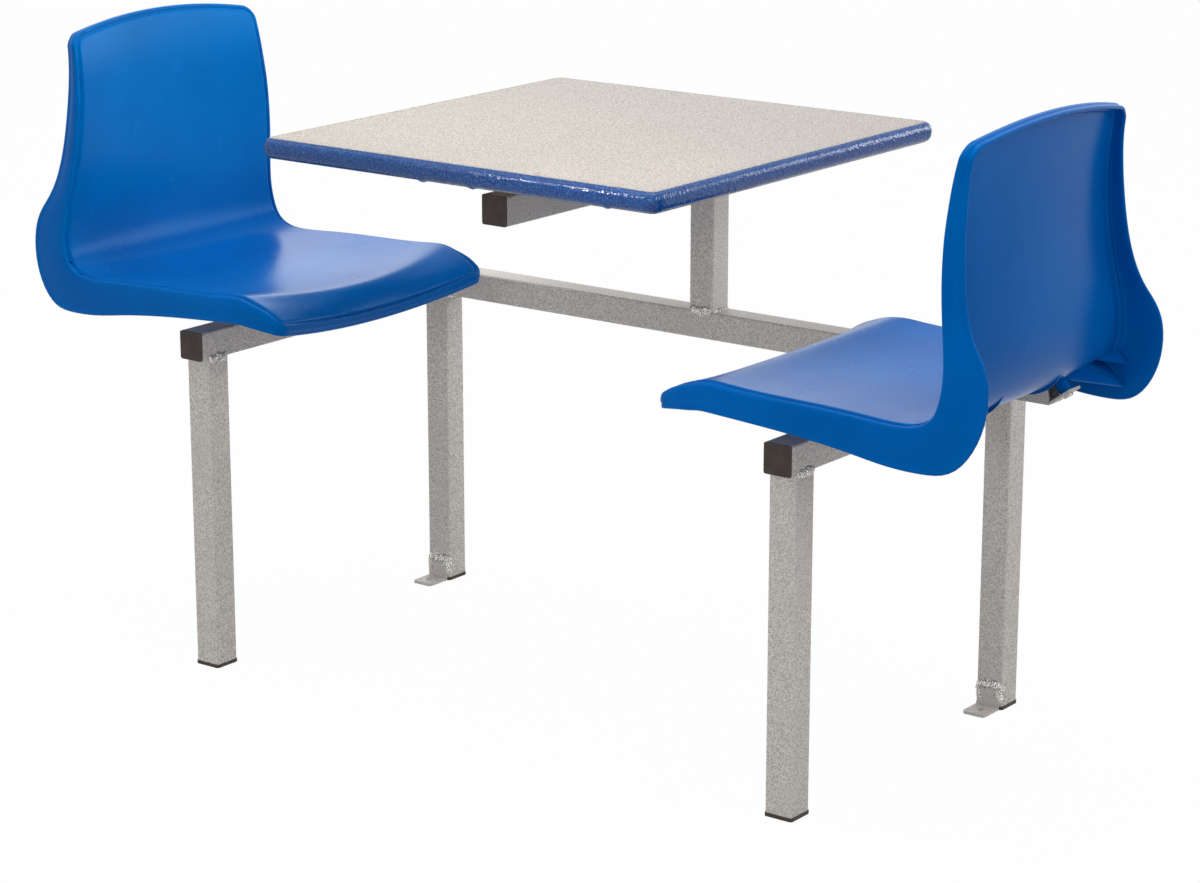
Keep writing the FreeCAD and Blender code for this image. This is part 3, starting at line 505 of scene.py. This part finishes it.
def outward(points, quads):
    """The quads turned so that the closed mesh they make has a positive volume."""
    corners = points[quads]
    centre = points.mean(0)
    area = (np.cross(corners[:, 1] - corners[:, 0], corners[:, 2] - corners[:, 0])
            + np.cross(corners[:, 2] - corners[:, 0], corners[:, 3] - corners[:, 0]))
    volume = np.sum((corners[:, 0] - centre) * area)
    return quads if volume > 0 else quads[:, ::-1]


def new_piece(name, points, faces, material, body, replaced=(), smooth_faces=True):
    """A mesh object at the origin that rides on a body and may stand for CAD nodes."""
    mesh = bpy.data.meshes.new(name)
    mesh.from_pydata(points.tolist(), [], faces)
    mesh.polygons.foreach_set("use_smooth", np.resize(smooth_faces, len(faces)))
    mesh.materials.append(material)
    piece = bpy.data.objects.new(name, mesh)
    bpy.context.scene.collection.objects.link(piece)
    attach(piece, body)
    if replaced:
        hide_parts(*replaced)


def at_seat(points, sign):
    """Seat coordinates, forward, across and up, as places on the left (-1) or right (+1) rail."""
    turned = points * np.array([-sign, -sign, 1])
    return turned + np.array([sign * RAIL_MIDDLE_X, SEAT_MIDDLE_Y, 0])


BLUE_DEEP, BLUE, BLUE_SOFT = (0, 88, 168), (0, 95, 178), (0, 102, 187)
GLOSS_LEVEL, GLOSS_TINT = 0.11, (0.0, 0.5, 1.0, 1.0)
SEAT_GRAIN, SEAT_RELIEF = 0.0009, 0.00006
FLOW_CLOUD, SMEAR = 0.16, 0.03
SEAT_SMOOTH, SEAT_ROUGH = 0.22, 0.30


def satin_plastic():
    """Fine spark-eroded grain under a satin gloss; the blue drifts a little where the melt flowed."""
    material, tree, shader = new_material("seat_blue", Specular_IOR_Level=GLOSS_LEVEL,
                                          Specular_Tint=GLOSS_TINT)
    cloud = object_noise(tree, FLOW_CLOUD, detail=3.0)
    colour = ramp(tree, cloud, ((0.30, BLUE_DEEP), (0.50, BLUE), (0.72, BLUE_SOFT)))
    tree.links.new(colour, shader.inputs["Base Color"])
    grain = object_noise(tree, SEAT_GRAIN, detail=3.0, roughness=0.6)
    smear = object_noise(tree, SMEAR, detail=2.0)
    tree.links.new(remap(tree, smear, SEAT_SMOOTH, SEAT_ROUGH), shader.inputs["Roughness"])
    bump(tree, shader, grain, SEAT_RELIEF)
    return material


SEAT_BLUE = satin_plastic()
shell_points, shell_quads = shell_mesh()

# Webs: two cross gussets by inner and outer end and tip, a strut by two places on the wall and a foot, and a
# long gusset by across, low and high end and hang. Bosses: forward and height of the foot, and the axis.
WEB = 0.0023
CROSS_POINTS, STRUT_POINTS, LONG_POINTS, BOSS_POINTS = 14, 6, 16, 24
CROSS_GUSSETS = (((0.379, 0.172), (0.392, 0.204), (-0.232, 0.2045, 0.512)),
                 ((0.373, 0.096), (0.368, 0.205), (-0.229, 0.2055, 0.4835)))
STRUT = ((0.379, 0.161), (0.370, 0.142), (-0.2035, 0.136, 0.4995))
LONG_GUSSET = (0.066, 0.300, 0.405, 0.008)
HANG_WAY = np.array([-0.35, 0, -0.94])
ARM_ACROSS, ARM_TOP = 0.108, 0.4805
BOSS_RADIUS, BOSS_REACH = 0.008, 0.05
WALL_LOW, WALL_HIGH, WALL_ROWS = 0.02, 0.62, 900
TONGUE_TILT = math.radians(37)
BOSSES = (
    ((0.082, ARM_TOP), (0, 0, 1)),
    ((-0.112, ARM_TOP), (0, 0, 1)),
    ((-0.2033, 0.4928), (math.sin(TONGUE_TILT), 0, math.cos(TONGUE_TILT))),
)


def wall_middle(along, across):
    """The middle of the panel's wall: the face moved back half a wall along its normal."""
    return panel_point(along, across) - WALL / 2 * face_normal(along, across)


def thick_sheet(corners, thickness):
    """A flat web from its outline: the outline moved half a thickness each way along its mean normal, a face
    on each side and a quad for each edge."""
    corners = np.asarray(corners, float)
    spokes = corners - corners.mean(0)
    normal = unit(np.cross(spokes, np.roll(spokes, -1, 0)).sum(0))
    count = len(corners)
    points = np.concatenate([corners + normal * thickness / 2, corners - normal * thickness / 2])
    faces = [list(range(count)), list(range(2 * count - 1, count - 1, -1))]
    faces += [[k, k + count, (k + 1) % count + count, (k + 1) % count] for k in range(count)]
    return points, faces


def cross_gusset(inner, outer, tip, mirror):
    """A web across the seat behind the bend: its upper edge follows the panel's wall from the inner to the
    outer end, each given along and across, and its free edge runs straight back from a tip on the lobe."""
    share = np.linspace(0, 1, CROSS_POINTS)
    upper = wall_middle(inner[0] + share * (outer[0] - inner[0]), inner[1] + share * (outer[1] - inner[1]))
    return np.concatenate([upper, [tip]]) * (1, mirror, 1)


def strut(first, second, foot, mirror):
    """A small three-cornered web between two places on the panel's wall and a foot below them."""
    wall = wall_middle(np.linspace(first[0], second[0], STRUT_POINTS),
                       np.linspace(first[1], second[1], STRUT_POINTS))
    return np.concatenate([wall, [foot]]) * (1, mirror, 1)


def long_gusset(across, low, high, hang, mirror):
    """A web along the seat: its upper edge follows the panel's wall and its lower edge hangs below it, most
    in its middle, by a sine arch."""
    along = np.linspace(low, high, LONG_POINTS)
    upper = wall_middle(along, np.full(LONG_POINTS, across))
    drop = HANG_WAY * hang * np.sin(np.linspace(0, math.pi, LONG_POINTS))[1:-1, None]
    return np.concatenate([upper, (upper[1:-1] + drop)[::-1]]) * (1, mirror, 1)


def boss(foot, axis, radius):
    """A round screw boss: a ring at the foot, and for each of its points the place where the line along the
    axis meets the middle of the panel's wall, found on a fine row of places along it."""
    turn = np.linspace(0, 2 * math.pi, BOSS_POINTS, endpoint=False)
    axis = np.array(axis, float)
    side = np.array([0.0, 1.0, 0.0])
    ring = foot + radius * (np.cos(turn)[:, None] * side + np.sin(turn)[:, None] * np.cross(axis, side))
    along = np.linspace(WALL_LOW, WALL_HIGH, WALL_ROWS)
    reach = []
    for place in ring:
        wall = wall_middle(along, np.full(WALL_ROWS, abs(place[1])))
        gap = wall[:, (0, 2)] - place[[0, 2]]
        off_line = np.abs(gap[:, 0] * axis[2] - gap[:, 1] * axis[0])
        ahead = gap[:, 0] * axis[0] + gap[:, 1] * axis[2]
        off_line[(ahead < 0) | (ahead > BOSS_REACH)] = 1
        reach.append(ahead[np.argmin(off_line)])
    points = np.concatenate([ring, ring + np.array(reach)[:, None] * axis])
    count = BOSS_POINTS
    faces = [list(range(count - 1, -1, -1)), list(range(count, 2 * count))]
    faces += [[k, (k + 1) % count, (k + 1) % count + count, k + count] for k in range(count)]
    return points, faces


details = []
for mirror in (-1, 1):
    for gusset in CROSS_GUSSETS:
        details.append(thick_sheet(cross_gusset(*gusset, mirror), WEB))
    details.append(thick_sheet(strut(*STRUT, mirror), WEB))
    details.append(thick_sheet(long_gusset(*LONG_GUSSET, mirror), WEB))
    for (forward, height), axis in BOSSES:
        details.append(boss(np.array([forward, mirror * ARM_ACROSS, height]), axis, BOSS_RADIUS))
for side, sign in SEAT_SIDES:
    points = [at_seat(shell_points, sign)]
    faces = outward(points[0], shell_quads).tolist()
    total = len(points[0])
    smooth_count = len(faces)
    for detail_points, detail_faces in details:
        points.append(at_seat(detail_points, sign))
        faces += [[index + total for index in face] for face in detail_faces]
        total += len(detail_points)
    new_piece(f"{side}_shell", np.concatenate(points), faces, SEAT_BLUE, f"{side}_seat",
              [f"{side}_seat_shell"], np.arange(len(faces)) < smooth_count)

# ------------------------------------------------------------------ laminate, board and backing
# High-pressure laminate pressed on chipboard, with a balancing sheet on the underside so that the top stays
# flat. The laminate is warm off-white with a fine fleck, matt. Wood screws hold the board to the bars.

LAMINATE_LIGHT, LAMINATE_MID, LAMINATE_DARK = (198, 193, 191), (174, 168, 166), (132, 127, 123)
FLECK = 0.0016
PRESS_GRAIN, PRESS_RELIEF = 0.0007, 0.00004


def fleck_laminate():
    """Warm off-white broken by pale and dark flecks a millimetre wide, under a dry matt press texture."""
    material, tree, shader = new_material("fleck_laminate", Roughness=0.6, Specular_IOR_Level=0.2)
    fleck = object_noise(tree, FLECK, detail=2.0, roughness=0.7)
    tree.links.new(ramp(tree, fleck, ((0.34, LAMINATE_DARK), (0.48, LAMINATE_MID), (0.62, LAMINATE_LIGHT))),
                   shader.inputs["Base Color"])
    bump(tree, shader, object_noise(tree, PRESS_GRAIN), PRESS_RELIEF)
    return material


dress(["tabletop_laminate"], fleck_laminate())

ROUGH_SPREAD, SHEET_RELIEF = 0.06, 0.00006


def plain_sheet(name, dark, light, feature, roughness):
    """Two close tones in soft clouds with a faint grain, for the hidden faces of the top. The shine varies
    on a quarter of the clouds' width, and the relief on an eighth."""
    material, tree, shader = new_material(name, Specular_IOR_Level=0.3)
    tree.links.new(ramp(tree, object_noise(tree, feature, detail=4.0), ((0.3, dark), (0.7, light))),
                   shader.inputs["Base Color"])
    shine = object_noise(tree, feature / 4)
    tree.links.new(remap(tree, shine, roughness - ROUGH_SPREAD, roughness + ROUGH_SPREAD),
                   shader.inputs["Roughness"])
    bump(tree, shader, object_noise(tree, feature / 8), SHEET_RELIEF)
    return material


dress(["tabletop_backing"], plain_sheet("balancing_sheet", (122, 104, 88), (146, 128, 110), 0.012, 0.6))
dress(["tabletop_core"], plain_sheet("chipboard", (150, 118, 84), (188, 158, 120), 0.003, 0.85))

# ------------------------------------------------------------------ cast edging
# Polyurethane cast round the board in a mould: a half-round nose as high as the top, in royal blue with an
# orange-peel skin, with a few drops of flash left hanging under the front edge.


def span(name, axis):
    """Where a CAD node's box begins and ends along x, y or z, to a tenth of a millimetre."""
    return [round(corner["xyz".index(axis)], 4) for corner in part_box(name)]


EDGE_BOTTOM, EDGE_TOP = span("tabletop_edging", "z")
EDGE_OUTER = span("tabletop_edging", "x")[1]
EDGE_WIDTH, EDGE_CORNER = 0.0105, 0.015
NOSE_POWER, EDGE_TUCK = 2.15, 0.0004
RUN_POINTS, TURN_POINTS, NOSE_POINTS = 200, 12, 27
# Waves of the mould: how deep, how long, and the phase. Drops of flash: x, how deep and how wide.
WAVES = ((0.00012, 0.045, 0.0), (0.00010, 0.019, 1.3))
DROPS = ((-0.047, 0.0032, 0.0058), (0.030, 0.0030, 0.0056), (0.232, 0.0026, 0.0048))
UNDERSIDE_FROM, NOSE_FROM, FRONT_FROM = 0.2, 0.001, -0.5
EDGE_DARK, EDGE_BLUE, EDGE_PALE = (8, 46, 112), (20, 70, 138), (46, 100, 164)
SKIN_GRAIN, SKIN_PEEL, SKIN_RELIEF = 0.0016, 0.0026, 0.0008
SKIN_ROUGH, SKIN_SMOOTH = 0.15, 0.07


def edging_mesh():
    """A half-round profile carried round a rounded square. The profile is a superellipse in outward reach
    and height with a straight inner side, the path is the square's inner line, two sine waves along the path
    move the nose in and out, and each drop lowers the front's underside by a bell curve in x."""
    inner_half, corner = EDGE_OUTER - EDGE_WIDTH, EDGE_CORNER - EDGE_WIDTH
    straight = np.linspace(-(inner_half - corner), inner_half - corner, RUN_POINTS)
    turn = np.linspace(0, math.pi / 2, TURN_POINTS)[1:-1]
    places, normals = [], []
    for quarter in range(4):
        angle = quarter * math.pi / 2
        spin = np.array([[math.cos(angle), -math.sin(angle)], [math.sin(angle), math.cos(angle)]])
        run = np.stack([straight, np.full(RUN_POINTS, -inner_half)], 1)
        run_normal = np.tile([0.0, -1.0], (RUN_POINTS, 1))
        arc_normal = np.stack([np.sin(turn), -np.cos(turn)], 1)
        arc = np.array([inner_half - corner, -(inner_half - corner)]) + corner * arc_normal
        places.append(np.concatenate([run, arc]) @ spin.T)
        normals.append(np.concatenate([run_normal, arc_normal]) @ spin.T)
    places, normals = np.concatenate(places), np.concatenate(normals)
    angle = np.linspace(math.pi / 2, -math.pi / 2, NOSE_POINTS)
    reach = np.abs(np.cos(angle)) ** (2 / NOSE_POWER) * EDGE_WIDTH
    level = np.sign(np.sin(angle)) * np.abs(np.sin(angle)) ** (2 / NOSE_POWER)
    reach = np.r_[-EDGE_TUCK, reach, -EDGE_TUCK]
    level = np.r_[1.0, level, -1.0]
    middle, half_height = (EDGE_TOP + EDGE_BOTTOM) / 2, (EDGE_TOP - EDGE_BOTTOM) / 2
    run_length = np.r_[0, np.cumsum(np.linalg.norm(np.diff(places, axis=0), axis=1))]
    wave = sum(depth * np.sin(run_length / length + phase) for depth, length, phase in WAVES)
    outward_reach = reach[None] + wave[:, None] * (reach[None] > EDGE_WIDTH / 2)
    points = np.empty((len(places), len(reach), 3))
    points[..., :2] = places[:, None] + normals[:, None] * outward_reach[..., None]
    points[..., 2] = middle + half_height * level
    underside = np.clip(-level - UNDERSIDE_FROM, 0, 1) * (reach > NOSE_FROM)
    front = (normals[:, 1] < FRONT_FROM)[:, None] * underside[None]
    for x, depth, width in DROPS:
        bell = np.exp(-((points[..., 0] - x) / width) ** 2)
        points[..., 2] -= depth * bell * front
    count, across = points.shape[:2]
    number = np.arange(count * across).reshape(count, across)
    right, below = np.roll(number, -1, 0), np.roll(number, -1, 1)
    both = np.roll(right, -1, 1)
    quads = np.stack([number, below, both, right], -1).reshape(-1, 4)
    return points.reshape(-1, 3), quads


def cast_skin():
    """Blue with paler grains on an orange-peel relief, so that lamps break into small glints along it."""
    material, tree, shader = new_material("edge_blue", Specular_IOR_Level=0.32)
    grain = object_noise(tree, SKIN_GRAIN, detail=2.0)
    tree.links.new(ramp(tree, grain, ((0.34, EDGE_DARK), (0.50, EDGE_BLUE), (0.70, EDGE_PALE))),
                   shader.inputs["Base Color"])
    tree.links.new(remap(tree, grain, SKIN_ROUGH, SKIN_SMOOTH), shader.inputs["Roughness"])
    bump(tree, shader, object_noise(tree, SKIN_PEEL, detail=1.0), SKIN_RELIEF)
    return material


edge_points, edge_quads = edging_mesh()
new_piece("cast_edging", edge_points, outward(edge_points, edge_quads).tolist(), cast_skin(), "frame",
          ["tabletop_edging"])

# ------------------------------------------------------------------ weld beads
# Fillets and flush runs of weld metal between the tubes, laid by hand in overlapping scales and then coated
# with the frame.

BEAD_WIDTH, BEAD_HEIGHT, BEAD_SCALE = 0.0070, 0.0034, 0.0040
BEAD_STEP, LEAST_STEPS, BEAD_POINTS = 0.0007, 12, 14
BEAD_SINK = 0.25
SCALE_TRAIL, SCALE_LOW, SCALE_RISE, SCALE_POWER = 0.0016, 0.80, 0.38, 1.5
TAPER_POWER, TAPER_LEAST = 8, 0.02
# An unsteady hand: change of size and sideways drift, each at a number of places along the run, and spatter.
WANDER, WANDER_PLACES = 0.10, 8
DRIFT, DRIFT_PLACES = 0.0006, 6
SPATTER = 0.12


def middle_and_half(name, axis):
    """The middle and half the length of a CAD node's box along x, y or z."""
    low, high = span(name, axis)
    return round((low + high) / 2, 5), round((high - low) / 2, 5)


TUBE_HALF, TUBE_ROUND = middle_and_half("table_post", "x")[1], 0.003
RUN_INSET = 0.002
LEG_MIDDLES_Y = [middle_and_half(f"{end}_left_leg", "y")[0] for end in ("front", "rear")]
LEG_REAR_Y = LEG_MIDDLES_Y[1]
LEG_TOP = span("front_left_leg", "z")[1]
RAIL_INNER_X = span("right_seat_rail", "x")[0]
POST_BOTTOM, POST_TOP = span("table_post", "z")
BAR_MIDDLES_Y = [middle_and_half(f"{end}_table_crossbar", "y")[0] for end in ("front", "rear")]
BAR_HALF = middle_and_half("front_table_crossbar", "y")[1]
BAR_UNDERSIDE = span("front_table_crossbar", "z")[0]
TAB_HALF = middle_and_half("right_floor_tab", "x")[1]
TAB_RUN_LOW, TAB_RUN_HIGH, TAB_GAP = 0.010, 0.0345, 0.001


def bead(start, end, out, seed):
    """A run of weld from start to end: an ellipse carried along the line, sunk by a share of its height,
    swollen by a saw of scales that trail towards the sides, unsteady in size and place, and closed by
    shrinking at both ends."""
    start, end, out = (np.array(v, float) for v in (start, end, out))
    run = end - start
    length = np.linalg.norm(run)
    run /= length
    out /= np.linalg.norm(out)
    side = np.cross(run, out)
    steps = max(int(length / BEAD_STEP), LEAST_STEPS)
    t = np.linspace(0, 1, steps)[:, None]
    angle = np.linspace(0, 2 * math.pi, BEAD_POINTS, endpoint=False)[None]
    draw = np.random.default_rng(seed)
    trail = t * length + SCALE_TRAIL * np.cos(angle) ** 2
    phase = (trail / BEAD_SCALE + draw.random()) % 1
    wander = np.interp(t * length, np.linspace(0, length, WANDER_PLACES),
                       draw.normal(0, WANDER, WANDER_PLACES))
    size = (SCALE_LOW + SCALE_RISE * (1 - phase) ** SCALE_POWER) * (1 + wander)
    size = size + draw.normal(0, SPATTER, size.shape)
    taper = np.sqrt(np.clip(1 - (2 * t - 1) ** TAPER_POWER, TAPER_LEAST, 1))
    drift = np.interp(t * length, np.linspace(0, length, DRIFT_PLACES),
                      draw.normal(0, DRIFT, DRIFT_PLACES))
    place = (start + run * length * t)[:, None] + (drift[..., None] * side)
    points = (place + (BEAD_WIDTH * taper * size * np.cos(angle))[..., None] * side
              + (BEAD_HEIGHT * taper * (size * np.sin(angle) - BEAD_SINK))[..., None] * out)
    count = angle.size
    number = np.arange(steps * count).reshape(steps, count)
    turned = np.roll(number, -1, 1)
    quads = np.stack([number[:-1], number[1:], turned[1:], turned[:-1]], -1).reshape(-1, 4).tolist()
    quads += [number[0].tolist(), number[-1, ::-1].tolist()]
    return points.reshape(-1, 3), quads


def straight_run(middle, axis, half, out):
    """A run through a middle point, which reaches half its length each way along x, y or z."""
    reach = half * np.eye(3)["xyz".index(axis)]
    return np.array(middle) - reach, np.array(middle) + reach, out


def bead_runs():
    """Every run as start, end and the direction it swells in: legs under the rails, the beam's ends on the
    rails, the floor tabs on the legs, the post between beam and support tube, and the bars on that tube."""
    runs = []
    half = TUBE_HALF
    inset = half - RUN_INSET
    for x in (-RAIL_MIDDLE_X, RAIL_MIDDLE_X):
        for y in LEG_MIDDLES_Y:
            for face in (-1, 1):
                runs.append(straight_run((x + face * half, y, LEG_TOP), "y", inset, (face, 0, 0)))
                runs.append(straight_run((x, y + face * half, LEG_TOP), "x", inset, (0, face, -1)))
        inward = -np.sign(x)
        end = np.sign(x) * RAIL_INNER_X
        for face in (-1, 1):
            beam_side = (end, LEG_REAR_Y + face * half, LEG_TOP + half)
            runs.append(straight_run(beam_side, "z", half - TUBE_ROUND, (inward, face, 0)))
        runs.append(straight_run((end, LEG_REAR_Y, LEG_TOP + 2 * half), "y", inset, (0, 0, 1)))
        runs.append(straight_run((end, LEG_REAR_Y, LEG_TOP), "y", inset, (inward, 0, -1)))
        tab_y = LEG_REAR_Y - half
        runs.append(straight_run((x, tab_y - TAB_GAP, TAB_RUN_HIGH), "x", TAB_HALF, (0, -1, 1)))
        for face in (-1, 1):
            tab_side = x + face * TAB_HALF
            runs.append(((tab_side, tab_y, TAB_RUN_LOW), (tab_side, tab_y, TAB_RUN_HIGH), (face, -1, 0)))
    for face in (-1, 1):
        runs.append(straight_run((face * half, LEG_REAR_Y, POST_BOTTOM), "y", inset, (face, 0, 1)))
        runs.append(straight_run((0, LEG_REAR_Y + face * half, POST_BOTTOM), "x", inset, (0, face, 0)))
        runs.append(straight_run((face * half, LEG_REAR_Y, POST_TOP), "y", inset, (face, 0, 0)))
        for bar_y in BAR_MIDDLES_Y:
            for bar_face in (-BAR_HALF, BAR_HALF):
                bar_foot = (0, bar_y + bar_face, BAR_UNDERSIDE)
                runs.append(straight_run(bar_foot, "x", inset, (0, np.sign(bar_face), 1)))
    runs.append(straight_run((0, LEG_REAR_Y - half, POST_TOP), "x", inset, (0, -1, -1)))
    return runs


# Weld tones: the dark is painted shade and the near-white is painted glint, both scattered at random as
# grains.
WELD_PAINTED_SHADE, WELD_PAINTED_GLINT = (74, 68, 64), (248, 245, 240)
WELD_GRAIN, WELD_PEEL, WELD_RELIEF = 0.0010, 0.0020, 0.0016
WELD_ROUGH, WELD_SMOOTH = 0.45, 0.14


def weld_coat():
    """The frame's coat over rough metal with deeper relief. Its dark grains are painted shade, and its
    near-white grains are painted glints, also metallic and smooth so that lamps catch them.
    """
    material, tree, shader = new_material("weld_coat", Metallic=0.7, Specular_IOR_Level=0.6)
    grain = object_noise(tree, WELD_GRAIN, detail=2.0)
    tree.links.new(ramp(tree, grain, ((0.36, WELD_PAINTED_SHADE), (0.48, COAT_MID), (0.58, WELD_PAINTED_GLINT))),
                   shader.inputs["Base Color"])
    tree.links.new(remap(tree, grain, WELD_ROUGH, WELD_SMOOTH), shader.inputs["Roughness"])
    bump(tree, shader, object_noise(tree, WELD_PEEL, detail=3.0), WELD_RELIEF)
    return material


bead_points, bead_faces, total = [], [], 0
for number, (start, end, out) in enumerate(bead_runs()):
    run_points, run_faces = bead(start, end, out, number)
    bead_points.append(run_points)
    bead_faces += [[index + total for index in face] for face in run_faces]
    total += len(run_points)
new_piece("weld_beads", np.concatenate(bead_points), bead_faces, weld_coat(), "frame")

# ------------------------------------------------------------------ end caps and feet
# Injection-moulded black inserts with a plug inside the tube: caps close the open ends of rails and support
# tube, and the same inserts with a thicker plate stand under the legs as feet.

CAP_NODES = [f"{side}_rail_{end}_cap" for side in ("left", "right") for end in ("front", "rear")]
CAP_NODES += [f"support_tube_{end}_cap" for end in ("front", "rear")]
CAP_NODES += [f"{end}_{side}_foot" for side in ("left", "right") for end in ("front", "rear")]

CAP_DARK, CAP_SCUFF = (50, 41, 37), (71, 60, 54)
CAP_CLOUD, CAP_GRAIN, CAP_RELIEF = 0.012, 0.0009, 0.00012
CAP_SMOOTH, CAP_ROUGH = 0.42, 0.56


def cap_plastic():
    """Near black with a warm cast, dulled by a fine spark grain and a few paler scuffs."""
    material, tree, shader = new_material("cap_plastic", Specular_IOR_Level=0.32)
    cloud = object_noise(tree, CAP_CLOUD, detail=4.0)
    tree.links.new(ramp(tree, cloud, ((0.35, CAP_DARK), (0.70, CAP_SCUFF))), shader.inputs["Base Color"])
    tree.links.new(remap(tree, cloud, CAP_SMOOTH, CAP_ROUGH), shader.inputs["Roughness"])
    bump(tree, shader, object_noise(tree, CAP_GRAIN, detail=2.0), CAP_RELIEF)
    return material


dress(CAP_NODES, cap_plastic())

# ------------------------------------------------------------------ floor tabs, arms and swivels
# Bent steel tabs with a bolt hole, folded channel arms under the seats, and between arms and rails the
# swivels: a base plate with a welded-in sleeve, and a plate with a spindle that turns in plastic bushes.
# Tabs, arms, plates and sleeves are coated with the frame. Spindles, pins, nuts and screws are zinc-plated.

ZINC_COOL, ZINC_GREY, ZINC_STRAW = (150, 154, 160), (176, 176, 174), (186, 180, 164)
ZINC_CLOUD, ZINC_HAZE, ZINC_GRAIN, ZINC_RELIEF = 0.010, 0.002, 0.0008, 0.00004
ZINC_SMOOTH, ZINC_ROUGH = 0.28, 0.48
BUSH_SHADE, BUSH_PALE = (196, 194, 186), (212, 210, 203)
BUSH_CLOUD = 0.006
BUSH_SMOOTH, BUSH_ROUGH = 0.30, 0.42


def zinc_plate():
    """Zinc plate: cool grey with faint blue and straw clouds and a brushed haze."""
    material, tree, shader = new_material("zinc_plate", Metallic=1.0)
    cloud = object_noise(tree, ZINC_CLOUD, detail=3.0)
    tree.links.new(ramp(tree, cloud, ((0.30, ZINC_COOL), (0.55, ZINC_GREY), (0.75, ZINC_STRAW))),
                   shader.inputs["Base Color"])
    haze = object_noise(tree, ZINC_HAZE, detail=3.0)
    tree.links.new(remap(tree, haze, ZINC_SMOOTH, ZINC_ROUGH), shader.inputs["Roughness"])
    bump(tree, shader, object_noise(tree, ZINC_GRAIN), ZINC_RELIEF)
    return material


def bush_plastic():
    """Pale grey acetal with a soft shine."""
    material, tree, shader = new_material("bush_plastic", Specular_IOR_Level=0.5)
    cloud = object_noise(tree, BUSH_CLOUD, detail=2.0)
    tree.links.new(ramp(tree, cloud, ((0.3, BUSH_SHADE), (0.7, BUSH_PALE))), shader.inputs["Base Color"])
    tree.links.new(remap(tree, cloud, BUSH_SMOOTH, BUSH_ROUGH), shader.inputs["Roughness"])
    return material


ZINC, BUSH = zinc_plate(), bush_plastic()
dress(["left_floor_tab", "right_floor_tab"], COAT)
dress([f"{side}_seat_{end}_arm" for side in ("left", "right") for end in ("front", "rear")], COAT)
dress([f"{side}_{part}" for side in ("left", "right")
       for part in ("pivot_sleeve", "swivel_base", "swivel_plate")], COAT)
dress([f"{side}_{part}" for side in ("left", "right")
       for part in ("pivot_spindle", "stop_pin", "lock_washer", "lock_nut", "shell_screws")], ZINC)
dress(["tabletop_screws"], ZINC)
dress([f"{side}_{part}" for side in ("left", "right") for part in ("pivot_bushes", "thrust_washer")], BUSH)
